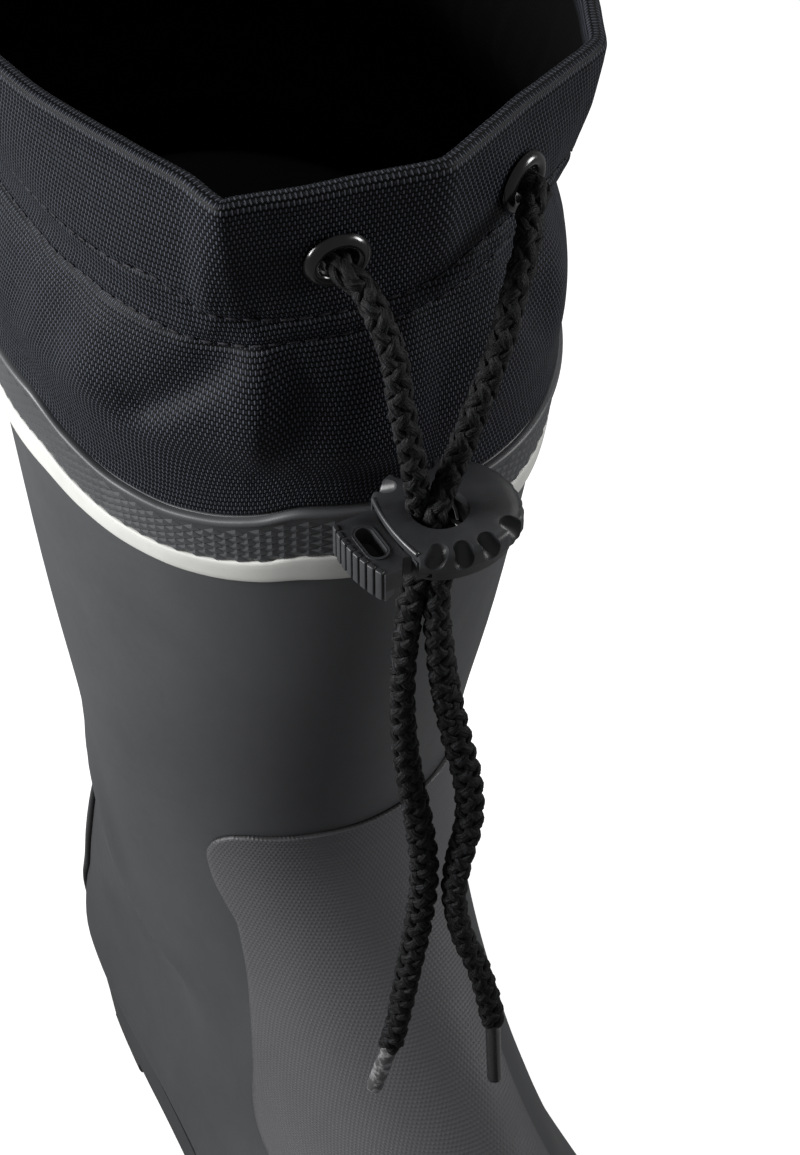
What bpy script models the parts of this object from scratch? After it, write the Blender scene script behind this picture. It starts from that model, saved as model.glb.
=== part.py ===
"""Rubber deck boot with a woven drawstring cuff.

A right boot that stands empty on its sole, toe towards -Y and outer side towards -X.
The shapes are worked out in millimetres about the axis of the shaft, and the parent
empty puts that axis where the middle of the boot's footprint is the origin.
"""

import math
from collections import namedtuple
from functools import lru_cache

import bmesh
import bpy
from mathutils import Matrix, Vector

MM = 0.001

# Driving sizes in millimetres
SHAFT_AXIS = (0.0, 55.35, 0.0)
COLUMNS = 40
WALL = 2.4
GAP = 0.3
OVERLAY_GAP = 0.45
OVERLAY = 1.2
FEATHER = 18.0
LAST_MARGIN = 10.0
CUP_TOP = 24.0
INSOLE = 3.5
STRIPE_FOOT = 280.5
STRIPE_TOP = 289.0
SHAFT_TOP = 304.0

# Sections of the rubber skin: a row for each height, with the places of heel and toe
# and the half widths along the foot
Section = namedtuple("Section", "height back front toe ball waist heel fullness swing")
SECTIONS = [
    Section(18, 89.0, -198.0, 43.0, 47.5, 37.0, 46.5, 0.68, 6.5),
    Section(30, 92.5, -204.0, 45.0, 50.0, 39.5, 49.5, 0.70, 6.5),
    Section(44, 93.0, -202.0, 44.0, 48.5, 39.5, 50.5, 0.72, 6.5),
    Section(58, 90.5, -184.0, 39.5, 43.5, 38.5, 50.5, 0.76, 6.5),
    Section(66, 88.5, -158.0, 35.5, 39.5, 37.5, 50.0, 0.80, 6.0),
    Section(75, 85.5, -134.0, 34.5, 37.5, 37.5, 49.5, 0.84, 5.5),
    Section(86, 81.0, -112.0, 35.0, 37.5, 38.5, 49.0, 0.88, 5.0),
    Section(98, 75.5, -94.0, 36.5, 38.5, 40.5, 48.5, 0.91, 4.0),
    Section(112, 69.0, -77.0, 38.5, 39.5, 43.0, 48.0, 0.94, 3.0),
    Section(128, 63.0, -61.5, 41.0, 42.0, 45.0, 47.5, 0.97, 2.0),
    Section(146, 58.5, -50.0, 43.5, 44.0, 46.5, 47.5, 1.00, 1.0),
    Section(165, 57.5, -45.5, 46.0, 46.4, 47.4, 48.0, 1.00, 0.0),
    Section(222, 66.2, -60.4, 53.2, 53.4, 54.0, 54.0, 1.00, 0.0),
    Section(280, 73.8, -73.6, 57.2, 57.4, 58.2, 58.2, 1.00, 0.0),
    Section(304, 77.0, -79.0, 58.4, 58.6, 59.6, 59.6, 1.00, 0.0),
]
RING_HEIGHTS = [18, 24, 30, 40, 50, 58, 63, 68, 74, 81, 89, 98, 108, 119, 132, 147,
                165, 192, 222, 280.5, 289, 304]

# Shares of the foot's length, from toe to heel, where the half widths hold, and the
# share of the swing that the centre line takes there
WIDTH_SHARES = [0.0, 0.32, 0.60, 0.90]
SWING_SHARES = [0.0, 0.32, 0.60, 0.90]
SWING_PARTS = [1.0, -0.2, -0.75, -0.3]

# Bottom edge of the upper and tread of the sole, from toe to heel
FEATHER_PLACES = [-205.0, -165.0, -110.0, -60.0, 30.0, 94.0]
FEATHER_LEVELS = [24.0, 15.0, 12.0, 13.0, 24.0, 25.0]
WARP_TOP = 110.0
TREAD_PLACES = [-209.0, -170.0, -130.0]
TREAD_LEVELS = [14.0, 4.5, 0.0]

# Side of the sole, from the tread up: outset from the feather line and share of the way
# from the tread to the top of the cup
SoleStep = namedtuple("SoleStep", "outset share")
SOLE_STEPS = [
    SoleStep(0.4, 0.0),
    SoleStep(1.8, 0.14),
    SoleStep(1.8, 0.46),
    SoleStep(2.7, 0.52),
    SoleStep(3.0, 0.92),
    SoleStep(2.6, 1.0),
]

# Hollow of the arch from the breast of the heel forwards
ArchPoint = namedtuple("ArchPoint", "along level")
ARCH = [
    ArchPoint(26, -1.0),
    ArchPoint(23, 9.0),
    ArchPoint(6, 9.0),
    ArchPoint(-14, 5.4),
    ArchPoint(-34, -1.0),
]

# Bar grooves between the lugs, each side of a plain middle rib
LUG_DEPTH = 4.0
GROOVE_BAR = (72.0, 5.0, 12.0)
GROOVE_MIDDLE = 40.0
FORE_GROOVES = [-48.0, -66.0, -84.0, -102.0, -120.0, -138.0, -156.0, -174.0]
HEEL_GROOVES = [44.0, 62.0, 80.0]
GROOVE_LEAN = math.radians(9.0)

# Edges of the instep panel seen from the front
PanelEdge = namedtuple("PanelEdge", "height lateral medial")
PANEL_EDGES = [
    PanelEdge(38, -22, 20),
    PanelEdge(44, -34, 28),
    PanelEdge(58, -37.5, 29),
    PanelEdge(72, -37.5, 24.5),
    PanelEdge(96, -34.7, 20.2),
    PanelEdge(112, -32.8, 21),
    PanelEdge(126, -31.6, 25),
    PanelEdge(136, -31.4, 29.5),
    PanelEdge(143, -32.9, 33),
    PanelEdge(150, -34.3, 36),
    PanelEdge(158, -34.9, 37.2),
    PanelEdge(163, -34.0, 36.6),
    PanelEdge(167, -31.5, 34),
    PanelEdge(169, -27.5, 30),
    PanelEdge(170.5, -12, 12),
]
PANEL_REACH = (-240.0, -8.0)

# Edges of the heel strip seen from the back
StripEdge = namedtuple("StripEdge", "height lateral medial")
STRIP_EDGES = [
    StripEdge(36, -36, 31),
    StripEdge(78, -35, 31),
    StripEdge(95, -33, 30),
    StripEdge(130, -24, 23),
    StripEdge(158, -18, 18),
    StripEdge(167, -14, 14),
    StripEdge(171, -7, 7),
]
STRIP_REACH = (35.0, 120.0)

# Sections of the cuff above the shaft, with how square its front is
CuffRow = namedtuple("CuffRow", "height half_width front back lateral_square medial_square")
CUFF_ROWS = [
    CuffRow(312, 60.0, 78.5, 80.5, 2.2, 2.0),
    CuffRow(324, 60.4, 80.0, 82.5, 2.4, 2.0),
    CuffRow(338, 58.4, 79.8, 82.0, 2.6, 2.0),
    CuffRow(351, 55.0, 77.6, 79.0, 3.0, 2.0),
    CuffRow(358, 57.6, 77.8, 78.0, 3.05, 2.1),
    CuffRow(371.5, 60.2, 80.6, 80.0, 3.1, 2.15),
    CuffRow(385, 62.0, 83.4, 82.0, 3.15, 2.15),
]
CUFF_WALL = 1.6
CUFF_TUCK = 289.0
CUFF_BACK_SQUARE = 2.3

# How far the drawcord pulls the rim in or out of those sections, by angle from the front
CuffPull = namedtuple("CuffPull", "angle shift")
CUFF_PULLS = [
    CuffPull(-88, 0.0),
    CuffPull(-80, -1.2),
    CuffPull(-65.9, -3.5),
    CuffPull(-58.3, -5.4),
    CuffPull(-51.5, -6.9),
    CuffPull(-45.5, -7.6),
    CuffPull(-40.1, -7.0),
    CuffPull(-35.4, -5.3),
    CuffPull(-31.1, -1.0),
    CuffPull(-28.8, 1.4),
    CuffPull(-26.4, 0.3),
    CuffPull(-22.9, -0.8),
    CuffPull(-13.6, -1.5),
    CuffPull(-4, 0.1),
    CuffPull(-0.4, 0.5),
    CuffPull(2.1, -0.5),
    CuffPull(6, -2.6),
    CuffPull(10.4, -4.3),
    CuffPull(16.5, -5.3),
    CuffPull(22.4, -4.3),
    CuffPull(28.5, -2.1),
    CuffPull(32.7, 0.1),
    CuffPull(36.3, 1.2),
    CuffPull(44, 0.5),
    CuffPull(60, 0.0),
]
CUFF_PULL_RISE = (350.0, 380.0)

# Eyelets
EYELET_HEIGHTS = {-1: 368.5, 1: 367.5}
EYELET_SPREADS = {-1: 20.7, 1: 21.0}
EYELET_BORE = 3.7
EYELET_BARREL = 4.4
EYELET_FLANGE = 6.5
EYELET_HOLE = 4.9
EYELET_SEAT = 0.6

# Cord lock, about the middle of its cord hole
LOCK_PLACE = (-8.6, -95.6, 311.8)
LOCK_RADIUS = 15.0
LOCK_OFFSET = 1.5
LOCK_HEIGHT = 8.5
LOCK_LIP = 10.6
LOCK_LIP_RADIUS = 45.0
LOCK_HOLE = 6.1
LOCK_EDGE = 0.9
DIMPLE_ANGLES = [-130.0, -104.0, -78.0, -50.0]
DIMPLE = (2.2, 1.5, 0.7)
BUTTON_TRAVEL = 4.5
BUTTON_HALF = 9.0
BUTTON_THICK = 5.4
BUTTON_END = 20.5
BUTTON_STEP = 17.3
BUTTON_HEAD_FOOT = 4.2
BUTTON_END_RADIUS = 25.0
BUTTON_SHOULDER = 2.0
TONGUE_HALF = 5.0
TONGUE_END = 9.0
BUTTON_SLOT_PLACE = 14.5
BUTTON_SLOT = (4.2, 9.0)
SLIDE_GAP = 0.4
LOCK_CUT = 40.0
POCKET_MOUTH = -30.0

# Drawcord
CORD = 5.4
CORD_PITCH = 5.7
CORD_POINTS = 32
CORD_INSIDE = 1.0
CORD_OUT = 4.0
TIP_LENGTH = 23.0
TIP_RADIUS = 2.0
TIP_EDGE = 0.6
TIP_SIDES = 16

# Routes of the two cord ends from eyelet to tip, chosen by hand; the eyelet and the
# lock's hole are put in from their own places
CORD_DROP_LATERAL = [(-19.0, -84.6, 365.5), (-17.8, -88.4, 360.9), (-16.0, -91.2, 352.3),
                     (-15.3, -92.8, 341.3), (-13.8, -94.3, 329.6)]
CORD_DROP_MEDIAL = [(19.7, -78.3, 364.4), (16.4, -83.0, 361.0), (11.4, -87.2, 354.3),
                    (6.8, -90.4, 346.2), (-0.6, -93.4, 333.4)]
CORD_TAIL_LATERAL = [(-14.2, -94.2, 293.0), (-15.0, -93.4, 277.0), (-14.9, -93.0, 262.0),
                     (-13.9, -93.2, 244.0), (-11.6, -94.4, 225.0), (-10.6, -95.0, 208.0),
                     (-10.8, -94.8, 190.0), (-12.4, -93.8, 171.5), (-14.8, -92.0, 152.0),
                     (-16.8, -90.4, 142.0)]
CORD_TAIL_MEDIAL = [(-8.4, -96.8, 293.0), (-7.4, -97.2, 280.0), (-5.6, -97.6, 265.5),
                    (-4.2, -98.2, 252.0), (-2.5, -99.0, 238.0), (-2.3, -99.2, 225.0),
                    (-3.5, -98.6, 211.0), (-3.7, -98.4, 200.0), (-2.3, -99.2, 186.5),
                    (0.7, -100.8, 173.0), (3.0, -102.0, 160.0), (3.9, -102.5, 152.5)]
TIP_AIM_LATERAL = (-0.10, 0.20, -0.97)
TIP_AIM_MEDIAL = (0.04, -0.02, -1.0)

# Plain finish of each sub-part: linear colour, roughness and metallic share
Finish = namedtuple("Finish", "red green blue roughness metallic")
FINISHES = {
    "outsole": Finish(0.030, 0.031, 0.033, 0.70, 0.0),
    "upper": Finish(0.065, 0.068, 0.072, 0.55, 0.0),
    "insole": Finish(0.015, 0.016, 0.017, 0.90, 0.0),
    "instep_panel": Finish(0.095, 0.095, 0.102, 0.62, 0.0),
    "heel_strip": Finish(0.070, 0.072, 0.076, 0.58, 0.0),
    "stripe_band": Finish(0.62, 0.63, 0.60, 0.50, 0.0),
    "knurled_band": Finish(0.055, 0.058, 0.061, 0.60, 0.0),
    "cuff": Finish(0.012, 0.013, 0.016, 0.75, 0.0),
    "eyelet_lateral": Finish(0.008, 0.008, 0.009, 0.25, 1.0),
    "eyelet_medial": Finish(0.008, 0.008, 0.009, 0.25, 1.0),
    "drawcord_lateral": Finish(0.012, 0.013, 0.014, 0.80, 0.0),
    "drawcord_medial": Finish(0.012, 0.013, 0.014, 0.80, 0.0),
    "cord_tip_lateral": Finish(0.075, 0.075, 0.080, 0.30, 0.6),
    "cord_tip_medial": Finish(0.010, 0.010, 0.011, 0.25, 0.0),
    "lock_body": Finish(0.016, 0.017, 0.019, 0.40, 0.0),
    "lock_plunger": Finish(0.030, 0.031, 0.033, 0.45, 0.0),
}
SHARP_EDGE = math.radians(38.0)


def smooth_between(place, knots, values):
    """Read a monotone cubic through the knots, level past its ends."""
    if place <= knots[0]:
        return values[0]
    if place >= knots[-1]:
        return values[-1]
    spans = [b - a for a, b in zip(knots, knots[1:])]
    slopes = [(b - a) / span for a, b, span in zip(values, values[1:], spans)]
    tangents = [slopes[0]]
    for before, after in zip(slopes, slopes[1:]):
        tangents.append(0.0 if before * after <= 0 else 2 * before * after / (before + after))
    tangents.append(slopes[-1])
    index = max(i for i, knot in enumerate(knots[:-1]) if knot <= place)
    span = spans[index]
    t = (place - knots[index]) / span
    start = (1 + 2 * t) * (1 - t) ** 2 * values[index]
    end = t * t * (3 - 2 * t) * values[index + 1]
    lean = t * (1 - t) * span * ((1 - t) * tangents[index] - t * tangents[index + 1])
    return start + end + lean


@lru_cache(maxsize=None)
def section_at(height):
    """Read every column of the section table at a height."""
    heights = [row.height for row in SECTIONS]
    columns = [smooth_between(height, heights, list(column)) for column in zip(*SECTIONS)]
    return Section(*columns)


@lru_cache(maxsize=None)
def feather_at(place):
    return smooth_between(place, FEATHER_PLACES, FEATHER_LEVELS)


def tread_at(place):
    return smooth_between(place, TREAD_PLACES, TREAD_LEVELS)


def signed_power(value, power):
    return math.copysign(abs(value) ** power, value)


@lru_cache(maxsize=None)
def skin(angle, height):
    """Point on the outside of the rubber, angle 0 at the front and positive towards +X."""
    row = section_at(height)
    share = (1 - math.cos(angle)) / 2
    half = smooth_between(share, WIDTH_SHARES, [row.toe, row.ball, row.waist, row.heel])
    centre = row.swing * smooth_between(share, SWING_SHARES, SWING_PARTS)
    across = centre + half * signed_power(math.sin(angle), row.fullness)
    along = row.front + (row.back - row.front) * share
    fade = smooth_between(height, [FEATHER, WARP_TOP], [1.0, 0.0])
    return Vector((across, along, height + fade * (feather_at(along) - FEATHER)))


def skin_normal(angle, height):
    turn = 0.02
    rise = 0.5
    round_it = skin(angle + turn, height) - skin(angle - turn, height)
    low = max(height - rise, FEATHER)
    up_it = skin(angle, height + rise) - skin(angle, low)
    return round_it.cross(up_it).normalized()


def column_angles():
    return [2 * math.pi * column / COLUMNS for column in range(COLUMNS)]


def skin_ring(height, outset):
    """Ring of points at an outset from the rubber, along its normal."""
    return [skin(a, height) + skin_normal(a, height) * outset for a in column_angles()]


def outline_ring(height, outset, level):
    """Ring of points at a level outset from the rubber's outline, at level(along)."""
    ring = []
    for angle in column_angles():
        normal = skin_normal(angle, height)
        normal.z = 0.0
        point = skin(angle, height) + normal.normalized() * outset
        point.z = level(point.y)
        ring.append(point)
    return ring


def new_object(name, data, home):
    """Object in a collection; a sub-part also gets its finish and smooth shading."""
    item = bpy.data.objects.new(name, data)
    home.objects.link(item)
    if name in FINISHES:
        data.materials.append(finish(name))
        if item.type == "MESH":
            data.shade_smooth()
            data.set_sharp_from_angle(angle=SHARP_EDGE)
    return item


def mesh_from(name, shape):
    """Turn a bmesh in millimetres into a mesh in metres with its faces outwards."""
    bmesh.ops.recalc_face_normals(shape, faces=shape.faces)
    shape.transform(Matrix.Scale(MM, 4))
    mesh = bpy.data.meshes.new(name)
    shape.to_mesh(mesh)
    shape.free()
    return mesh


def add_rings(shape, rings, closed):
    """Skin rings of points one after the other, and the last to the first if closed."""
    rows = [[shape.verts.new(point) for point in ring] for ring in rings]
    pairs = list(zip(rows, rows[1:]))
    if closed:
        pairs.append((rows[-1], rows[0]))
    for lower, upper in pairs:
        for i in range(len(lower)):
            j = (i + 1) % len(lower)
            shape.faces.new((lower[i], lower[j], upper[j], upper[i]))
    return rows


def add_ladder_cap(shape, row):
    """Close a ring with rungs from one side of the foot to the other."""
    count = len(row)
    for i in range(count // 2):
        rung = [row[i], row[i + 1], row[(count - i - 1) % count], row[(count - i) % count]]
        corners = list(dict.fromkeys(rung))
        shape.faces.new(corners)


def ring_solid(name, rings):
    shape = bmesh.new()
    add_rings(shape, rings, closed=True)
    return mesh_from(name, shape)


def capped_solid(name, rings):
    shape = bmesh.new()
    rows = add_rings(shape, rings, closed=False)
    add_ladder_cap(shape, rows[0])
    add_ladder_cap(shape, rows[-1])
    return mesh_from(name, shape)


def prism(name, outline, axis, span, home):
    """Cutter with an outline in the plane across an axis, between two places on it."""
    shape = bmesh.new()
    ends = []
    for place in span:
        corners = []
        for first, second in outline:
            corner = (place, first, second) if axis == "X" else (first, place, second)
            corners.append(shape.verts.new(corner))
        ends.append(corners)
    for i in range(len(outline)):
        j = (i + 1) % len(outline)
        shape.faces.new((ends[0][i], ends[0][j], ends[1][j], ends[1][i]))
    shape.faces.new(ends[0])
    shape.faces.new(ends[1])
    return as_cutter(new_object(name, mesh_from(name, shape), home))


def as_cutter(item):
    item.hide_render = True
    item.display_type = "WIRE"
    return item


def cut(item, cutter, operation="DIFFERENCE"):
    boolean = item.modifiers.new(cutter.name, "BOOLEAN")
    boolean.operation = operation
    boolean.solver = "EXACT"
    boolean.object = cutter


def cylinder(name, radius, depth, segments, place, home):
    shape = bmesh.new()
    bmesh.ops.create_cone(shape, cap_ends=True, segments=segments, radius1=radius,
                          radius2=radius, depth=depth, matrix=Matrix.Translation(place))
    return new_object(name, mesh_from(name, shape), home)


def box(name, low, high, home):
    size = Vector(high) - Vector(low)
    middle = (Vector(high) + Vector(low)) / 2
    shape = bmesh.new()
    bmesh.ops.create_cube(shape, size=1.0,
                          matrix=Matrix.Translation(middle) @ Matrix.Diagonal((*size, 1.0)))
    return new_object(name, mesh_from(name, shape), home)


def finish(name):
    """Material with the plain finish of a sub-part."""
    row = FINISHES[name]
    material = bpy.data.materials.new(name + "_finish")
    material.use_nodes = True
    shader = material.node_tree.nodes["Principled BSDF"]
    shader.inputs["Base Color"].default_value = (row.red, row.green, row.blue, 1.0)
    shader.inputs["Roughness"].default_value = row.roughness
    shader.inputs["Metallic"].default_value = row.metallic
    return material


def make_upper(home):
    """Foot and shaft in one hollow shell, turned in under the foot."""
    outside = [skin_ring(height, 0.0) for height in reversed(RING_HEIGHTS)]
    inside = [skin_ring(height, -WALL) for height in RING_HEIGHTS[1:]]
    margin = [
        outline_ring(FEATHER, -LAST_MARGIN, feather_at),
        outline_ring(FEATHER, -LAST_MARGIN, lambda along: feather_at(along) + WALL),
        outline_ring(FEATHER, -WALL, lambda along: feather_at(along) + WALL),
    ]
    return new_object("upper", ring_solid("upper", outside + margin + inside), home)


def make_insole(home):
    seat = WALL + GAP
    inset = -(WALL + 2 * GAP)
    rings = [
        outline_ring(FEATHER, inset, lambda along: feather_at(along) + seat),
        outline_ring(FEATHER, inset, lambda along: feather_at(along) + seat + INSOLE),
    ]
    return new_object("insole", capped_solid("insole", rings), home)


def make_outsole(home, cutters):
    """Sole unit that cups the foot of the upper, with arch and bar lugs cut from below."""
    top = [point.z for point in skin_ring(CUP_TOP, 0.0)]
    rings = []
    for step in SOLE_STEPS:
        ring = outline_ring(FEATHER, step.outset, tread_at)
        for point, level in zip(ring, top):
            point.z += step.share * (level - point.z)
        rings.append(ring)
    rings.append(skin_ring(CUP_TOP, GAP))
    rings.append(outline_ring(FEATHER, GAP, lambda along: feather_at(along) - GAP))
    item = new_object("outsole", capped_solid("outsole", rings), home)

    cut(item, prism("arch_cut", ARCH, "X", (-90.0, 90.0), cutters))
    for side, lean in (("lateral", 1.0), ("medial", -1.0)):
        shape = bmesh.new()
        for place in FORE_GROOVES + HEEL_GROOVES:
            level = tread_at(place) + LUG_DEPTH - GROOVE_BAR[2] / 2
            bar = Matrix.Translation((-lean * GROOVE_MIDDLE, place, level))
            bar = bar @ Matrix.Rotation(lean * GROOVE_LEAN, 4, "Z")
            bar = bar @ Matrix.Diagonal((*GROOVE_BAR, 1.0))
            bmesh.ops.create_cube(shape, size=1.0, matrix=bar)
        name = "lug_cut_" + side
        cut(item, as_cutter(new_object(name, mesh_from(name, shape), cutters)))
    return item


def overlay_shell(name, low, high):
    """Shell that lies over the rubber between two heights, a gap away from it."""
    heights = [height for height in RING_HEIGHTS if low <= height <= high]
    under = [skin_ring(height, OVERLAY_GAP) for height in heights]
    over = [skin_ring(height, OVERLAY_GAP + OVERLAY) for height in reversed(heights)]
    return ring_solid(name, under + over)


def make_instep_panel(home, cutters):
    item = new_object("instep_panel", overlay_shell("instep_panel", 30, 192), home)
    outline = [(row.lateral, row.height) for row in PANEL_EDGES]
    outline += [(row.medial, row.height) for row in reversed(PANEL_EDGES)]
    cut(item, prism("panel_cut", outline, "Y", PANEL_REACH, cutters), "INTERSECT")
    return item


def make_heel_strip(home, cutters):
    item = new_object("heel_strip", overlay_shell("heel_strip", 30, 192), home)
    outline = [(row.lateral, row.height) for row in STRIP_EDGES]
    outline += [(row.medial, row.height) for row in reversed(STRIP_EDGES)]
    cut(item, prism("strip_cut", outline, "Y", STRIP_REACH, cutters), "INTERSECT")
    return item


def make_bands(home):
    """White stripe and textured band round the top of the shaft."""
    for name, low, high in (
        ("stripe_band", STRIPE_FOOT, STRIPE_TOP - GAP),
        ("knurled_band", STRIPE_TOP, SHAFT_TOP),
    ):
        rings = [skin_ring(low, GAP), skin_ring(high, GAP),
                 skin_ring(high, GAP + OVERLAY), skin_ring(low, GAP + OVERLAY)]
        new_object(name, ring_solid(name, rings), home)


@lru_cache(maxsize=None)
def cuff(angle, height):
    """Point on the outside of the woven cuff."""
    heights = [row.height for row in CUFF_ROWS]
    columns = [smooth_between(height, heights, list(column)) for column in zip(*CUFF_ROWS)]
    row = CuffRow(*columns)
    ahead = math.cos(angle) > 0
    front_square = row.medial_square if math.sin(angle) > 0 else row.lateral_square
    square = front_square if ahead else CUFF_BACK_SQUARE
    reach = row.front if ahead else row.back
    across = row.half_width * signed_power(math.sin(angle), 2 / square)
    along = -reach * signed_power(math.cos(angle), 2 / square)
    turn = math.atan2(across, -along)
    pull = smooth_between(math.degrees(turn), *map(list, zip(*CUFF_PULLS)))
    pull *= smooth_between(height, CUFF_PULL_RISE, (0.0, 1.0))
    return Vector((across + math.sin(turn) * pull, along - math.cos(turn) * pull, height))


def cuff_normal(angle, height):
    turn = 0.03
    rise = 1.0
    round_it = cuff(angle + turn, height) - cuff(angle - turn, height)
    up_it = cuff(angle, height + rise) - cuff(angle, height - rise)
    return round_it.cross(up_it).normalized()


def cuff_ring(height, outset):
    return [cuff(a, height) + cuff_normal(a, height) * outset for a in column_angles()]


def make_cuff(home):
    """Woven cuff, tucked inside the top of the shaft and lapped over its edge."""
    lap = SHAFT_TOP + 2 * GAP
    tuck = -(WALL + 2 * GAP)
    outside = [
        outline_ring(CUFF_TUCK, tuck, lambda along: CUFF_TUCK),
        outline_ring(SHAFT_TOP, tuck, lambda along: lap),
        outline_ring(SHAFT_TOP, OVERLAY, lambda along: lap),
    ]
    inside = [
        outline_ring(SHAFT_TOP, OVERLAY - CUFF_WALL, lambda along: lap + CUFF_WALL),
        outline_ring(SHAFT_TOP, tuck - CUFF_WALL, lambda along: lap),
        outline_ring(CUFF_TUCK, tuck - CUFF_WALL, lambda along: CUFF_TUCK),
    ]
    heights = [row.height for row in CUFF_ROWS]
    outside += [cuff_ring(height, 0.0) for height in heights]
    inside = [cuff_ring(height, -CUFF_WALL) for height in reversed(heights)] + inside
    return new_object("cuff", ring_solid("cuff", outside + inside), home)


def eyelet_angle(side):
    """Angle on the cuff where an eyelet sits, by halving."""
    low = 0.0
    high = math.pi / 2
    for _ in range(40):
        middle = (low + high) / 2
        if side * cuff(side * middle, EYELET_HEIGHTS[side]).x < EYELET_SPREADS[side]:
            low = middle
        else:
            high = middle
    return side * low


def eyelet_frame(side):
    """Matrix in millimetres with Z out of the cuff at an eyelet."""
    angle = eyelet_angle(side)
    outward = cuff_normal(angle, EYELET_HEIGHTS[side])
    turn = Vector((0, 0, 1)).rotation_difference(outward).to_matrix().to_4x4()
    return Matrix.Translation(cuff(angle, EYELET_HEIGHTS[side])) @ turn


def make_eyelet(name, side, cuff_item, home, cutters):
    """Turned metal eyelet that grips the cuff from both sides."""
    place = eyelet_frame(side)
    hole = cylinder(name + "_hole", EYELET_HOLE, 30.0, 24, (0, 0, 0), cutters)
    hole.matrix_world = metre_frame(place)
    cut(cuff_item, as_cutter(hole))

    under = -CUFF_WALL - EYELET_SEAT
    profile = [(EYELET_BORE, 1.4), (4.8, 2.1), (5.9, 1.8), (EYELET_FLANGE, EYELET_SEAT),
               (EYELET_BARREL, EYELET_SEAT), (EYELET_BARREL, under), (5.8, under),
               (5.4, under - 0.6), (EYELET_BORE, under - 0.6)]
    item = turned(name, profile, 18, home)
    item.matrix_world = metre_frame(place)
    return item


def metre_frame(place):
    """The same placing with its shift in metres."""
    frame = place.copy()
    frame.translation = place.translation * MM
    return frame


def turned(name, profile, steps, home):
    """Closed profile of radius and height, turned about Z."""
    shape = bmesh.new()
    corners = [shape.verts.new((radius * MM, 0.0, level * MM)) for radius, level in profile]
    for first, second in zip(corners, corners[1:] + corners[:1]):
        shape.edges.new((first, second))
    mesh = bpy.data.meshes.new(name)
    shape.to_mesh(mesh)
    shape.free()
    item = new_object(name, mesh, home)
    screw = item.modifiers.new("turn", "SCREW")
    screw.steps = steps
    screw.render_steps = steps
    screw.use_merge_vertices = True
    screw.merge_threshold = 0.00001
    screw.use_normal_calculate = True
    screw.use_normal_flip = True
    return item


def smooth_route(points, count):
    """Points at equal steps along a smooth curve through the route's own points."""
    ends = [points[0] * 2 - points[1]] + points + [points[-1] * 2 - points[-2]]
    fine = []
    for a, b, c, d in zip(ends, ends[1:], ends[2:], ends[3:]):
        for step in range(12):
            t = step / 12
            line = 2 * b + (c - a) * t + (2 * a - 5 * b + 4 * c - d) * t * t
            fine.append((line + (3 * b - a - 3 * c + d) * t ** 3) / 2)
    fine.append(points[-1])
    lengths = [0.0]
    for first, second in zip(fine, fine[1:]):
        lengths.append(lengths[-1] + (second - first).length)
    spaced = []
    for step in range(count):
        goal = lengths[-1] * step / (count - 1)
        index = max(i for i, length in enumerate(lengths[:-1]) if length <= goal)
        t = (goal - lengths[index]) / (lengths[index + 1] - lengths[index])
        spaced.append(fine[index].lerp(fine[index + 1], t))
    return spaced


def cord_route(side, drop, tail):
    """Route of one cord end, out of its eyelet, through the lock and down to its tip."""
    place = eyelet_frame(side)
    hole = Vector(LOCK_PLACE) + Vector((side * CORD_PITCH / 2, 0, 0))
    start = [place @ Vector((0, 0, -CORD_INSIDE)), place @ Vector((0, 0, CORD_OUT))]
    half = LOCK_HEIGHT / 2
    inside = [hole + Vector((0, 0, half)), hole, hole - Vector((0, 0, half))]
    return start + [Vector(p) for p in drop] + inside + [Vector(p) for p in tail]


def make_cord(name, route, home):
    points = smooth_route(route, CORD_POINTS)
    curve = bpy.data.curves.new(name, "CURVE")
    curve.dimensions = "3D"
    curve.bevel_depth = CORD / 2 * MM
    curve.bevel_resolution = 2
    curve.use_fill_caps = True
    spline = curve.splines.new("POLY")
    spline.points.add(len(points) - 1)
    for spot, point in zip(spline.points, points):
        spot.co = (*(point * MM), 1.0)
    return new_object(name, curve, home)


def make_cord_tip(name, end, aim, home):
    """Hard tip that follows on from the end of a cord."""
    middle = (0, 0, -TIP_LENGTH / 2)
    item = cylinder(name, TIP_RADIUS, TIP_LENGTH, TIP_SIDES, middle, home)
    bevel = item.modifiers.new("soft_edge", "BEVEL")
    bevel.width = TIP_EDGE * MM
    bevel.segments = 1
    bevel.limit_method = "ANGLE"
    aim = Vector(aim).normalized()
    turn = Vector((0, 0, -1)).rotation_difference(aim).to_matrix().to_4x4()
    item.matrix_world = metre_frame(Matrix.Translation(end + aim * GAP) @ turn)
    return item


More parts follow.
